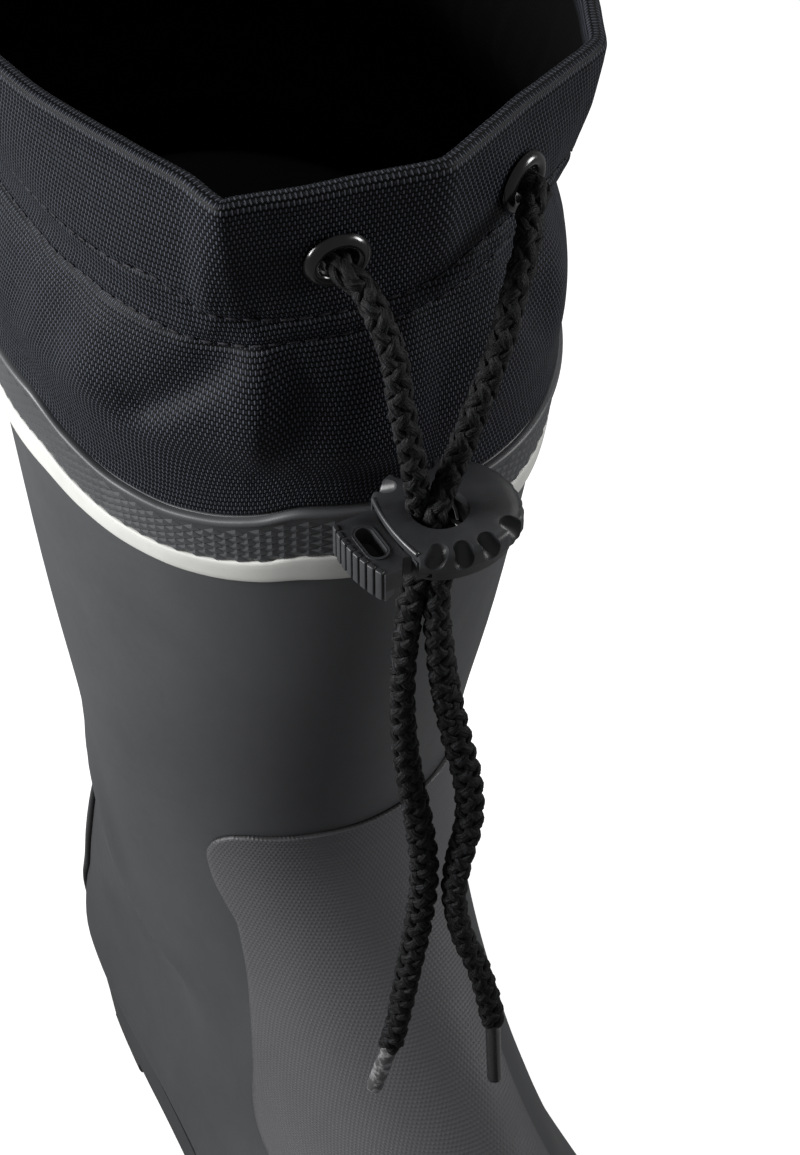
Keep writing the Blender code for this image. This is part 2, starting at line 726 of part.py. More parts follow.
def make_lock_body(home, cutters, stand):
    """Round lock body with a lip, a cord hole, a pocket for the button and grip dimples."""
    item = cylinder("lock_body", LOCK_RADIUS, LOCK_HEIGHT, 32, (LOCK_OFFSET, 0, 0), home)
    bevel = item.modifiers.new("soft_edge", "BEVEL")
    bevel.width = LOCK_EDGE * MM
    bevel.segments = 1
    bevel.limit_method = "ANGLE"
    lip = (LOCK_LIP_RADIUS - LOCK_LIP, 0, 0)
    tools = [
        (cylinder("lock_lip_cut", LOCK_LIP_RADIUS, LOCK_CUT, 64, lip, cutters), "INTERSECT"),
        (cylinder("lock_hole_cut", LOCK_HOLE, LOCK_CUT, 24, (0, 0, 0), cutters), "DIFFERENCE"),
    ]
    half = BUTTON_THICK / 2 + SLIDE_GAP
    shoulder = BUTTON_SHOULDER + BUTTON_TRAVEL + SLIDE_GAP
    wide = BUTTON_HALF + SLIDE_GAP
    tongue = TONGUE_END + BUTTON_TRAVEL + SLIDE_GAP
    narrow = TONGUE_HALF + SLIDE_GAP
    pocket = box("lock_pocket_cut", (POCKET_MOUTH, -wide, -half), (shoulder, wide, half), cutters)
    tools.append((pocket, "DIFFERENCE"))
    tools.append((box("lock_tongue_cut", (0, -narrow, -half), (tongue, narrow, half), cutters),
                  "DIFFERENCE"))
    tools.append((make_dimples(cutters), "DIFFERENCE"))
    item.parent = stand
    for tool, operation in tools:
        tool.parent = stand
        cut(item, as_cutter(tool), operation)
    return item


def make_dimples(home):
    """Shallow oval dimples along both sides of the lock's top edge."""
    shape = bmesh.new()
    reach = LOCK_RADIUS - 1.9
    for angle in DIMPLE_ANGLES:
        for side in (1, -1):
            turn = side * math.radians(angle)
            spot = (LOCK_OFFSET + reach * math.cos(turn), reach * math.sin(turn), LOCK_HEIGHT / 2)
            place = Matrix.Translation(spot) @ Matrix.Rotation(turn + math.pi / 2, 4, "Z")
            place = place @ Matrix.Diagonal((*DIMPLE, 1.0))
            bmesh.ops.create_uvsphere(shape, u_segments=8, v_segments=4, radius=1.0, matrix=place)
    return new_object("dimple_cut", mesh_from("dimple_cut", shape), home)


def make_lock_plunger(home, cutters, stand):
    """Push button with a tongue that carries the cords in a long slot."""
    half = BUTTON_THICK / 2
    item = box("lock_plunger", (-BUTTON_END, -BUTTON_HALF, -half),
               (BUTTON_SHOULDER, BUTTON_HALF, half), home)
    head = box("button_head", (-BUTTON_END, -BUTTON_HALF, -BUTTON_HEAD_FOOT),
               (-BUTTON_STEP, BUTTON_HALF, half), cutters)
    tongue = box("button_tongue", (0, -TONGUE_HALF, -half), (TONGUE_END, TONGUE_HALF, half), cutters)
    end = (BUTTON_END_RADIUS - BUTTON_END, 0, 0)
    rounded = cylinder("button_end_cut", BUTTON_END_RADIUS, LOCK_CUT, 64, end, cutters)
    hand = CORD_PITCH / 2 + CORD / 2 + SLIDE_GAP
    side = CORD / 2 + SLIDE_GAP
    depth = LOCK_CUT / 2
    slot = box("cord_slot_cut", (-hand - BUTTON_TRAVEL, -side, -depth), (hand, side, depth), cutters)
    wide, long = BUTTON_SLOT
    oval = stadium("button_slot_cut", -BUTTON_SLOT_PLACE, wide, long, cutters)
    item.parent = stand
    for tool, operation in ((head, "UNION"), (tongue, "UNION"), (rounded, "INTERSECT"),
                            (slot, "DIFFERENCE"), (oval, "DIFFERENCE")):
        tool.parent = stand
        cut(item, as_cutter(tool), operation)
    return item


def stadium(name, place, wide, long, home):
    """Upright cutter with round ends, long across the lock."""
    radius = wide / 2
    reach = long / 2 - radius
    outline = []
    for step in range(17):
        turn = math.pi * step / 8
        end = reach if step <= 8 else -reach
        outline.append((place + radius * math.cos(turn), end + radius * math.sin(turn)))
    shape = bmesh.new()
    rings = [[Vector((*spot, level)) for spot in outline] for level in (-LOCK_CUT / 2, LOCK_CUT / 2)]
    rows = add_rings(shape, rings, closed=False)
    shape.faces.new(rows[0])
    shape.faces.new(rows[-1])
    return new_object(name, mesh_from(name, shape), home)


def clear_scene():
    for item in list(bpy.data.objects):
        bpy.data.objects.remove(item, do_unlink=True)
    for collection in list(bpy.data.collections):
        bpy.data.collections.remove(collection)


def new_collection(name):
    collection = bpy.data.collections.new(name)
    bpy.context.scene.collection.children.link(collection)
    return collection


def new_stand(name, place, home):
    stand = bpy.data.objects.new(name, None)
    stand.location = Vector(place) * MM
    home.objects.link(stand)
    return stand


def main():
    clear_scene()
    boot = new_collection("deck_boot")
    cutters = new_collection("cutters")
    make_outsole(boot, cutters)
    make_upper(boot)
    make_insole(boot)
    make_instep_panel(boot, cutters)
    make_heel_strip(boot, cutters)
    make_bands(boot)
    cuff_item = make_cuff(boot)
    for name, side, drop, tail, aim in (
        ("lateral", -1, CORD_DROP_LATERAL, CORD_TAIL_LATERAL, TIP_AIM_LATERAL),
        ("medial", 1, CORD_DROP_MEDIAL, CORD_TAIL_MEDIAL, TIP_AIM_MEDIAL),
    ):
        make_eyelet("eyelet_" + name, side, cuff_item, boot, cutters)
        make_cord("drawcord_" + name, cord_route(side, drop, tail), boot)
        make_cord_tip("cord_tip_" + name, Vector(tail[-1]), aim, boot)

    lock = new_stand("lock_place", LOCK_PLACE, boot)
    make_lock_body(boot, cutters, lock)
    make_lock_plunger(boot, cutters, lock)

    axis = new_stand("shaft_axis", SHAFT_AXIS, boot)
    for item in list(boot.objects) + list(cutters.objects):
        if item is not axis and item.parent is None:
            item.parent = axis


main()
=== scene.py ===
"""Rubber deck boot with a drawstring cuff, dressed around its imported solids."""

import math

import bmesh
import bpy
import numpy as np
from mathutils import Matrix, Vector
from mathutils.bvhtree import BVHTree


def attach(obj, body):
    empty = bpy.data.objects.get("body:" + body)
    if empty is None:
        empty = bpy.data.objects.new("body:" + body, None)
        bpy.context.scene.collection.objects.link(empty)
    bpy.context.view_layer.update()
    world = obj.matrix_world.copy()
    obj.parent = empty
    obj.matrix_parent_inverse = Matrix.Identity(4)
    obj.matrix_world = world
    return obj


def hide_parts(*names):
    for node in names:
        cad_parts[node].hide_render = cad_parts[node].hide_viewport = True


bl_info = {
    "name": "Deck boot",
    "version": (1, 0, 0),
    "blender": (4, 5, 0),
    "location": "3D View > Sidebar > Deck boot",
    "description": "Dresses the solids of a rubber deck boot with its rubber, cloth, cord and fittings",
    "category": "Object",
}

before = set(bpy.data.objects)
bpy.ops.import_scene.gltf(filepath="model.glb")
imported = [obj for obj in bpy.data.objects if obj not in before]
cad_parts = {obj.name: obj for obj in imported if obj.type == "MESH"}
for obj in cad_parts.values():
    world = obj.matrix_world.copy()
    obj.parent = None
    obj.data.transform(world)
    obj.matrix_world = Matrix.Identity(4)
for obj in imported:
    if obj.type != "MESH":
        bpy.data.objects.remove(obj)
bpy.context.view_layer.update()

# Lengths below are millimetres about the shaft's own axis, unless a name says otherwise
MM = 0.001
SHAFT_AXIS = np.array([0.0, 55.35, 0.0])
UP = np.array([0.0, 0.0, 1.0])
RAY_SHIFT = 0.01
RAY_START = 400.0
RING_START = 200.0
MERGE_GAP = 1e-6
DOUBLE_GAP = 1e-7

# Steps in which round and smooth shapes are drawn
ROUTE_STEPS = 24
CAPSULE_RINGS = 18
CAPSULE_SIDES = 28
TIP_SIDES = 40
HOLE_SIDES = 64
EYELET_SIDES = 72
EYELET_HOLE_SIDES = 40
BEAD_STEPS = 15
BEAD_SIDES = 14
SPRING_SIDES = 10
BUTTON_END_SIDES = 200
BUTTON_END_STEPS = 40

# Camera, from the viewing angle and field of view of the photograph
CAMERA_PLACE = (-186.5, -409.0, 646.8)
CAMERA_AZIMUTH = math.radians(-28.38)
CAMERA_ELEVATION = math.radians(44.1)
CAMERA_LENS = 79.67
CAMERA_SENSOR = 36.0

# Soft boxes: metres to the camera's right, towards it and up, height they aim at, size, spread, power
LIGHTS = [
    ("left_softbox", (-0.95, 0.12, 0.56), 360.0, (0.45, 0.45), 52.0, 2.1),
    ("right_softbox", (0.95, -0.08, 0.62), 440.0, (0.35, 0.50), 44.0, 0.62),
    ("back_softbox", (0.25, -0.95, 1.20), 300.0, (0.8, 0.6), 160.0, 3.0),
]
LIGHT_AIM = -30.0
WORLD_STRENGTH = 0.175

# Floor that curves up into a backdrop: its glow, its sizes in metres and its sides
FLOOR_GLOW = 0.86
FLOOR_REACH = 7.0
FLOOR_BEND = 5.0
FLOOR_TOP = 9.0
FLOOR_SIDES = 96

# Rubber bands at the top of the shaft, and how far their edge dips at the front outer side
SHAFT_TOP = 304.3
TOP_MARGIN = 1.2
STRIPE = (280.5, 288.8)
KNURL = (289.0, 304.0)
DIP_FOOT = 258.0
DIP_ANGLES = [-95.0, -80.5, -67.7, -54.2, -44.7, -35.9, -27.3, -19.6, -10.0]
DIP_DEPTHS = [0.0, 0.3, 4.6, 7.9, 8.4, 7.2, 4.4, 0.6, 0.0]
BAND_COLUMNS = 360

# Height and outset of the bands' profiles, from their lower and from their upper edge
STRIPE_FOOT = [(0.0, 0.1), (0.0, 0.7), (0.15, 1.1), (0.5, 1.35), (1.1, 1.5), (2.6, 1.58)]
STRIPE_HEAD = [(-2.6, 1.58), (-1.0, 1.5), (-0.4, 1.38), (-0.1, 1.15), (0.0, 0.8), (0.0, 0.1)]
KNURL_FOOT = [(0.0, 0.1), (0.0, 0.7), (0.2, 0.95), (0.7, 1.0)]
KNURL_HEAD = [(-2.6, 1.0), (-2.2, 1.2), (-1.8, 1.55), (-1.2, 1.75), (-0.6, 1.7), (-0.2, 1.4),
              (0.0, 0.9), (0.0, 0.1)]

# Points of the textured band: round that they share out, margins, outset, width share and worn place
KNURL_ROUND = 432.0
KNURL_MARGIN = 3.6
KNURL_START = 0.9
KNURL_OUTSET = 1.0
KNURL_FILL = 0.98
KNURL_WEAR = 0.75
KNURL_WEAR_ANGLE = -82.0
KNURL_WEAR_REACH = 24.0

# Edges of the instep panel seen from the front, and of the heel strip from the back:
# height, outer side, inner side
PANEL_EDGES = [
    (38, -22, 20), (44, -34, 28), (58, -37.5, 29), (72, -37.5, 24.5), (96, -34.7, 20.2),
    (112, -32.8, 21), (126, -31.6, 25), (136, -31.4, 29.5), (143, -32.9, 33), (150, -34.3, 36),
    (158, -34.9, 37.2), (163, -34, 36.6), (167, -31.5, 34), (169, -27.5, 30), (170.5, -12, 12),
]
STRIP_EDGES = [
    (36, -36, 31), (78, -35, 31), (95, -33.5, 30), (130, -26, 23), (158, -20.5, 18.3), (168, -17, 15.2),
    (174, -12.5, 11), (177, -6, 6),
]
PANEL_RISE = 1.2
STRIP_RISE = 1.5
OVERLAY_SEAT = 0.1
OVERLAY_ROUND = 0.55
# Width of the painted shade line along the overlays' edges
OVERLAY_LINE = 0.5
OVERLAY_SOFTENING = 3
EDGE_STEPS = np.array([0.0, 0.12, 0.35, 0.7, 1.2, 1.9])
PANEL_COLUMNS = 44
PANEL_ROWS = 130
PANEL_TOP = 12.0
PANEL_TOP_ROWS = 24
PANEL_PROBES = 400
STRIP_COLUMNS = 32
STRIP_ROWS = 70

# Soft creases of the rubber: line on the skin, height out of it, half width, share that fades out
CREASES = [
    ([(-44, 24, 176), (-46, 18, 152), (-46.3, 14, 132), (-45.5, 9, 116), (-44.5, -2, 108),
      (-44, -16, 103), (-43.6, -32, 100)], 2.3, 5.5, 0.24),
    ([(-42, 33, 174), (-43, 28, 150), (-42.5, 25, 128), (-42, 19, 107), (-43, 4, 97),
      (-43.6, -12, 92), (-43.6, -30, 89)], -4.2, 7.0, 0.24),
    ([(-44, 40, 180), (-41, 42, 152), (-38, 46, 126), (-36, 52, 100)], -2.6, 13.0, 0.3),
    ([(-38.5, 52, 68), (-40.9, 33, 83), (-43.5, 12, 96)], 1.4, 5.5, 0.4),
    ([(44, 24, 176), (46, 18, 152), (45.5, 12, 128), (44, 0, 108)], 0.8, 6.0, 0.3),
    ([(42, 33, 174), (43, 28, 150), (42.5, 25, 128), (42, 17, 106), (43, 2, 96)], -2.2, 8.0, 0.3),
    ([(44, 40, 180), (41, 42, 152), (38, 46, 126), (36, 52, 100)], -2.6, 13.0, 0.3),
    ([(38, 50, 70), (40, 33, 84), (43, 10, 98)], 0.9, 6.0, 0.4),
    ([(-20, 80, 42), (-37, 66, 42), (-42, 40, 43), (-44.5, 5, 43), (-46.5, -30, 42), (-47, -60, 41),
      (-42, -110, 40)], 3.5, 8.0, 0.2),
    ([(-47, -30, 76), (-46, -50, 68), (-46, -66, 62)], -1.2, 8.0, 0.4),
    ([(-44, -4, 86), (-45, -28, 78), (-46, -44, 74)], -0.8, 7.0, 0.4),
]

# Cuff sections: height, half width, front, back, squareness of the outer and inner front
CUFF_ROWS = np.array([
    (312, 60.0, 78.5, 80.5, 2.2, 2.0),
    (324, 60.4, 80.0, 82.5, 2.4, 2.0),
    (338, 58.4, 79.8, 82.0, 2.6, 2.0),
    (351, 55.0, 77.6, 79.0, 3.0, 2.0),
    (358, 57.6, 77.8, 78.0, 3.05, 2.1),
    (371.5, 60.2, 80.6, 80.0, 3.1, 2.15),
    (385, 62.0, 83.4, 82.0, 3.15, 2.15),
])
CUFF_BACK_SQUARE = 2.3

# How far the drawcord pulls the rim in or out of those sections: angle from the front, shift
CUFF_PULLS = np.array([
    (-88, 0.0), (-80, -1.2), (-65.9, -3.5), (-58.3, -5.4), (-51.5, -6.9), (-45.5, -7.6),
    (-40.1, -7.0), (-35.4, -5.3), (-31.1, -1.0), (-28.8, 1.4), (-26.4, 0.3), (-22.9, -0.8),
    (-13.6, -1.5), (-4, 0.1), (-0.4, 0.5), (2.1, -0.5), (6, -2.6), (10.4, -4.3), (16.5, -5.3),
    (22.4, -4.3), (28.5, -2.1), (32.7, 0.1), (36.3, 1.2), (44, 0.5), (60, 0.0),
])
CUFF_PULL_RISE = (350.0, 380.0)
CUFF_WALL = 1.6
CUFF_COLUMNS = 440
HEM_RADIUS = 1.9
HEM_RISE = (376.0, 380.0)
HEM_BENDS = 12
RIM_HEIGHT = 383.0
GIRTH_HEIGHT = 345.0
CUFF_STEPS = 125
CUFF_SEAT = 2.0
CUFF_BLEND_TOP = 321.0
LINING_STRIDE = 3
# Rows down the lining over which the cloth fades into its painted shade
LINING_FADE_ROWS = 2.0
RELIEF_START = 0.06

# Rings of the cuff about the shaft's edge, by outset and rise: tuck, start outside and lining
TUCK_RINGS = [(-3.2, -14.0), (-3.2, -9.0), (-3.2, -4.0), (-3.2, -0.4), (-2.9, 0.4), (-2.0, 0.75),
              (-0.6, 0.85)]
START_RING = (0.9, 1.0)
LINING_RINGS = [(-2.2, 2.4), (-4.0, 1.6), (-4.7, 0.0), (-4.8, -4.0), (-4.8, -9.0), (-4.8, -14.0)]

# Two rows of stitches that close the cord's tunnel: angle round the cuff, height
UPPER_STITCH = [(-180, 357), (-90, 356.5), (-50, 357.5), (-42, 358.8), (-36, 357), (-31, 354.6),
                (-20, 354.2), (-2, 354.8), (6, 358.5), (13, 360), (40, 358), (90, 357), (180, 357)]
LOWER_STITCH = [(-180, 348), (-90, 346), (-70, 346), (-56, 347.2), (-46, 347.7), (-37, 346.8),
                (-33, 346.6), (-24, 348.2), (-11, 349.2), (0, 349.9), (6, 352), (14, 354.5),
                (40, 351), (90, 348), (180, 348)]
STITCH_THREAD = 0.62
STITCH_SEAT = 0.15

# Depth and half width of the stitches' grooves, and rise and half width of the tunnel between them
UPPER_GROOVE = (0.60, 0.80)
LOWER_GROOVE = (0.75, 0.85)
TUNNEL_SWELL = (0.35, 2.4)

# How strongly the cloth is gathered at the stitches, by angle
GATHER_ANGLES = [-180, -120, -75, -45, -30, -15, 10, 30, 120, 180]
GATHER_SHARES = [0.8, 0.15, 0.05, 0.10, 0.35, 0.45, 0.5, 0.8, 1.0, 0.8]

# Gathers: length, start and share of each wave, their rise, and how they fade below and above
GATHER_WAVES = [(1.05, 0.0, 0.5), (1.73, 1.1, 0.8), (2.9, 2.3, 0.7), (5.3, 0.4, 0.5)]
GATHER_RISE = 0.30
GATHER_BELOW = 9.0
GATHER_ABOVE = 7.0

# Folds of the cuff: points of angle, height and depth, then the reach to their left and right
FOLDS = [
    ([(-28.6, 386, 0.3), (-29.0, 376, 0.7), (-29.6, 368, 1.1), (-30.3, 359, 1.2), (-31, 353, 0.5)],
     3.6, 2.2),
    ([(35.5, 386, 0.3), (35, 370, 0.8), (33, 355, 0.5)], 3.0, 4.0),
    ([(-1, 386, 0.2), (-0.5, 376, 0.5), (1, 362, 0.5)], 4.0, 2.4),
    ([(-25.0, 350, 0.6), (-25.2, 341, 2.3), (-25.9, 332, 3.0), (-26.8, 325, 2.0), (-27.5, 316, 0.4)],
     7.0, 3.0),
    ([(-27.8, 348, -0.8), (-31.7, 340.6, -1.8), (-36.5, 332.3, -2.2), (-42.5, 323, -3.0),
      (-47, 316, -0.6)], 5.5, 3.6),
    ([(-20.5, 345, -0.6), (-21.0, 334, -1.3), (-21.5, 322, -0.5)], 3.0, 6.0),
    ([(-15.0, 331, 1.6), (-15.2, 324, 1.6)], 13.0, 14.0),
    ([(-58, 343, -0.7), (-60, 332, -1.2), (-65, 320, -0.5)], 7.0, 7.0),
    ([(-52, 338, 0.9), (-53, 326, 1.2)], 8.0, 8.0),
    ([(-74, 342, -0.5), (-76, 328, -0.9), (-80, 316, -0.3)], 6.0, 8.0),
    ([(4, 346, -0.8), (2, 334, -1.0), (-2, 322, -0.4)], 6.0, 6.0),
    ([(18, 350, -0.8), (19, 336, -1.4), (24, 322, -0.4)], 5.0, 6.0),
    ([(27, 346, 0.9), (28, 332, 1.4), (29, 320, 0.6)], 7.0, 7.0),
    ([(48, 346, -0.8), (50, 334, -1.4), (46, 320, -0.4)], 6.0, 7.0),
    ([(66, 346, 0.6), (68, 332, 1.0)], 8.0, 8.0),
    ([(95, 346, -0.7), (97, 332, -1.2), (102, 320, -0.4)], 6.0, 8.0),
    ([(128, 346, -0.8), (126, 334, -1.3), (122, 322, -0.4)], 7.0, 7.0),
    ([(150, 346, 0.6), (152, 332, 1.0)], 9.0, 9.0),
    ([(-104, 346, -0.7), (-101, 332, -1.2), (-98, 320, -0.4)], 7.0, 7.0),
    ([(-132, 346, -0.8), (-135, 334, -1.3), (-138, 322, -0.4)], 7.0, 7.0),
    ([(-156, 346, 0.6), (-157, 332, 1.0)], 9.0, 9.0),
]

# Eyelets: height for the outer and the inner side, and where they sit across the front
EYELET_HEIGHTS = {-1: 368.5, 1: 367.5}
EYELET_SPREADS = {-1: 20.7, 1: 21.0}
EYELET_HOLE = 4.6
EYELET_CUT = 12.0
EYELET_CALM = 9.0
EYELET_PROFILE = [
    (3.7, 1.2), (3.85, 1.65), (4.2, 1.98), (4.7, 2.12), (5.2, 2.1), (5.7, 1.92), (6.1, 1.55),
    (6.4, 1.05), (6.5, 0.6), (6.3, 0.35), (5.4, 0.35), (4.4, 0.35), (4.4, -2.0), (5.3, -2.0),
    (5.8, -2.2), (5.75, -2.5), (5.4, -2.8), (4.5, -2.85), (3.9, -2.75), (3.7, -2.4),
]

# Cord lock, about the middle of its cord hole
LOCK_PLACE = np.array([-8.6, -95.6, 311.8])
LOCK_OFFSET = 1.5
LOCK_HEIGHT = 8.5
LOCK_PROFILE = [
    (0.4, -4.25), (12.0, -4.25), (12.4, -4.0), (12.6, -3.65), (12.7, -1.1), (12.9, -0.8), (14.2, -0.7),
    (14.7, -0.45), (14.95, 0.1), (15.0, 2.25), (14.95, 2.85), (14.75, 3.4), (14.3, 3.8), (13.6, 4.05),
    (12.0, 4.17), (9.5, 4.23), (6.5, 4.25), (0.4, 4.25),
]
LOCK_FLAT = (9.0, 0.7)
LOCK_SEGMENTS = 160
LOCK_TEETH = (40, 0.28)
TEETH_FACING = (0.35, 0.5)
TEETH_REACH = (14.2, 14.7)
LOCK_LIP = 10.6
LOCK_LIP_RADIUS = 45.0
LOCK_BEAD = (0.5, 8.9)
BEAD_SEAT = (0.15, 0.05)
MOUTH_REACH = -30.0
LOCK_HOLE = 5.8
SCOOP_REACH = (12.9, 15.5)
SCOOP_RADIUS = 2.05
SCOOPS = [(-125.0, (4.3, 2.7)), (-102.5, (3.6, 1.7)), (-79.5, (3.6, 1.7)), (-50.0, (3.6, 1.7))]

# Push button: its sides, heights of its plate and head, and the arc of its ribbed end
BUTTON_TRAVEL = 4.5
BUTTON_SIDES = (-9.0, 8.2)
BUTTON_TOP = 1.7
BUTTON_FOOT = -2.7
BUTTON_REACH = 24.0
BUTTON_SHOULDER = 2.0
BUTTON_ARC = (8.9, 2.8)
BUTTON_ARC_RADIUS = 28.0
HEAD_THICK = 2.8
HEAD_FOOT = -5.2
TONGUE = (5.0, 9.0)
CORD_SLOT = 4.6
BUTTON_SLOT_PLACE = -14.9
BUTTON_SLOT = (3.7, 8.8)
BUTTON_SLOT_RIM = (0.6, 0.3)
BUTTON_SLOT_FLOOR = -2.2
BUTTON_NOTCH = [(-13.6, -1.0), (-9.8, -1.0), (-9.8, 2.2), (-11.4, 2.6)]
SLIDE_GAP = 0.4
RIB_COUNT = 8
RIB_SIZE = (1.1, 1.62, 7.1)
RIB_MARGIN = 0.5
RIB_LIFT = 0.25
RIB_SEAT = 0.1
SPRING_WIRE = [(4.1, 3.5, 2.8), (4.5, 2.9, 1.4), (4.9, 2.3, -0.2), (5.0, 1.6, -2.0)]
SPRING_RADIUS = 0.34
CUT_DEPTH = 20.0

# Drawcord, from its eyelet through the lock's hole to its tip
CORD_PITCH = 5.7
CORD_INSIDE = 1.0
CORD_OUT = 4.0
CORD_SOLID = 5.4
CORD_SQUEEZE = {-1: (-0.6, 2.0), 1: (-4.2, -0.8)}
SQUEEZE_SHARES = (1.0, 0.7, 0.4)
CORD_DROPS = {
    -1: [(-19.0, -84.6, 365.5), (-17.8, -88.4, 360.9), (-16.0, -91.2, 352.3), (-15.3, -92.8, 341.3),
         (-13.8, -94.3, 329.6)],
    1: [(19.7, -78.3, 364.4), (16.4, -83.0, 361.0), (11.4, -87.2, 354.3), (6.8, -90.4, 346.2),
        (-0.6, -93.4, 333.4)],
}
CORD_TAILS = {
    -1: [(-13.9, -94.2, 293.0), (-15.0, -93.4, 277.0), (-15.2, -93.0, 262.0), (-14.2, -93.2, 244.0),
         (-12.0, -94.4, 225.0), (-10.8, -95.0, 208.0), (-12.0, -94.6, 190.0), (-14.0, -93.4, 171.5),
         (-15.8, -91.8, 152.0), (-16.8, -90.4, 142.0)],
    1: [(-9.6, -96.8, 293.0), (-9.0, -97.2, 280.0), (-7.4, -97.6, 265.5), (-5.2, -98.2, 252.0),
        (-2.7, -99.0, 238.0), (-2.2, -99.2, 225.0), (-4.3, -98.6, 211.0), (-5.0, -98.4, 200.0),
        (-3.3, -99.2, 186.5), (0.5, -100.8, 173.0), (3.0, -102.0, 160.0), (3.9, -102.5, 152.5)],
}
TIP_AIMS = {-1: (-0.10, 0.20, -0.97), 1: (0.04, -0.02, -1.0)}
TIP_GAP = 0.3
TIP_PROFILES = {
    -1: [(1.1, -0.8), (1.8, -0.9), (2.0, -0.5), (2.05, 0.4), (2.0, 3.0), (1.95, 7.0), (2.0, 12.0),
         (2.05, 17.0), (2.1, 20.5), (2.0, 22.2), (1.7, 22.9), (1.0, 23.0)],
    1: [(1.2, -1.6), (1.85, -1.7), (2.05, -1.4), (2.1, -0.8), (1.98, -0.3), (1.82, 0.4), (1.8, 4.0),
        (1.78, 10.0), (1.78, 16.0), (1.8, 21.0), (1.84, 22.2), (1.75, 22.8), (1.5, 23.0), (1.0, 23.0)],
}
FOIL_SQUEEZE = (0.78, 1.0, 1.0)
FOIL_WAVES = [(0.05, 0.9, 2, 0.0), (0.04, 1.7, -3, 1.0)]
FOIL_START = 3.0
SIDES = {-1: "lateral", 1: "medial"}

# Braid: step along its route, the strands and their sizes in a cord of the full width, and their map
BRAID_STEP = 0.65
BRAID_WIDTH = 6.4
STRANDS = 4
STRAND_SIDES = 8
STRAND_RADIUS = 2.0
STRAND_LIFT = 0.45
STRAND_HALF_WIDTH = 1.38
STRAND_HALF_DEPTH = 0.80
STRAND_ROUND = 6.5
STRAND_MAP_STEP = 40.0

# Girth of the cord: its share at the lock, gain where it hangs free and loss where it is held tight,
# and the spans about the lock's foot and top and from the eyelet in which these come and go
CORD_SHARE = 0.90
FREE_GAIN = 0.10
TIGHT_LOSS = 0.05
FREE_FOOT = (-14.0, 2.0)
TIGHT_FOOT = (-6.0, 4.0)
TIGHT_TOP = (-4.0, 10.0)
TIGHT_START = (2.0, 12.0)
CORD_FLATNESS = 0.13
CORD_ROUND_END = 14.0
CORD_TWIST_RUN = 42.0
CORD_TWIST_START = {-1: 0.6, 1: 1.5}


class BootSizes(bpy.types.PropertyGroup):
    """Sizes of the boot's repeated and woven details."""

    cord_width: bpy.props.FloatProperty(
        name="Cord width", description="Width of the braided cord where it hangs free",
        default=0.0062, min=0.004, max=0.008, unit="LENGTH")
    braid_lay: bpy.props.FloatProperty(
        name="Braid lay", description="Length in which a strand goes once round the cord",
        default=0.021, min=0.01, max=0.04, unit="LENGTH")
    knurl_width: bpy.props.FloatProperty(
        name="Knurl width", description="Distance between two points of a row on the textured band",
        default=0.0046, min=0.002, max=0.008, unit="LENGTH")
    knurl_row: bpy.props.FloatProperty(
        name="Knurl row", description="Distance between two rows on the textured band",
        default=0.00122, min=0.0008, max=0.004, unit="LENGTH")
    knurl_rise: bpy.props.FloatProperty(
        name="Knurl rise", description="Height of the points on the textured band",
        default=0.00036, min=0.0002, max=0.0015, unit="LENGTH")
    stitch_pitch: bpy.props.FloatProperty(
        name="Stitch pitch", description="Distance between two stitches of the tunnel",
        default=0.0034, min=0.002, max=0.006, unit="LENGTH")
    stitch_length: bpy.props.FloatProperty(
        name="Stitch length", description="Length of one stitch",
        default=0.0027, min=0.001, max=0.005, unit="LENGTH")
    weave_pitch: bpy.props.FloatProperty(
        name="Weave pitch", description="Distance between two upright yarns of the cuff",
        default=0.00048, min=0.0003, max=0.002, unit="LENGTH")
    weave_step: bpy.props.FloatProperty(
        name="Weave step", description="Distance between two level yarns of the cuff",
        default=0.00129, min=0.0004, max=0.003, unit="LENGTH")
    grain_pitch: bpy.props.FloatProperty(
        name="Grain pitch", description="Distance between two dots of the panel's grain",
        default=0.0011, min=0.0008, max=0.004, unit="LENGTH")


class BootColours(bpy.types.PropertyGroup):
    """Colours of the boot's materials."""

    shaft: bpy.props.FloatVectorProperty(
        name="Shaft", description="Rubber of the shaft and foot",
        default=(0.062, 0.064, 0.068), subtype="COLOR", min=0.0, max=1.0)
    panel: bpy.props.FloatVectorProperty(
        name="Panel", description="Grained rubber over the instep",
        default=(0.104, 0.104, 0.112), subtype="COLOR", min=0.0, max=1.0)
    stripe: bpy.props.FloatVectorProperty(
        name="Stripe", description="Pale stripe round the shaft",
        default=(0.63, 0.635, 0.605), subtype="COLOR", min=0.0, max=1.0)
    nylon: bpy.props.FloatVectorProperty(
        name="Nylon", description="Woven cloth of the cuff",
        default=(0.0070, 0.0076, 0.0096), subtype="COLOR", min=0.0, max=1.0)
    cord: bpy.props.FloatVectorProperty(
        name="Cord", description="Braided drawcord",
        default=(0.0045, 0.0046, 0.0050), subtype="COLOR", min=0.0, max=1.0)
    plastic: bpy.props.FloatVectorProperty(
        name="Plastic", description="Cord lock",
        default=(0.029, 0.030, 0.0325), subtype="COLOR", min=0.0, max=1.0)
    sole: bpy.props.FloatVectorProperty(
        name="Sole", description="Rubber of the sole",
        default=(0.055, 0.057, 0.060), subtype="COLOR", min=0.0, max=1.0)


def metres(points):
    """Points of the shaft's own frame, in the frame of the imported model."""
    return (np.asarray(points, float) + SHAFT_AXIS) * MM


def millimetres(points):
    return np.asarray(points, float) / MM - SHAFT_AXIS


def smooth_step(place, low, high):
    share = np.clip((np.asarray(place, float) - low) / (high - low), 0.0, 1.0)
    return share * share * (3.0 - 2.0 * share)


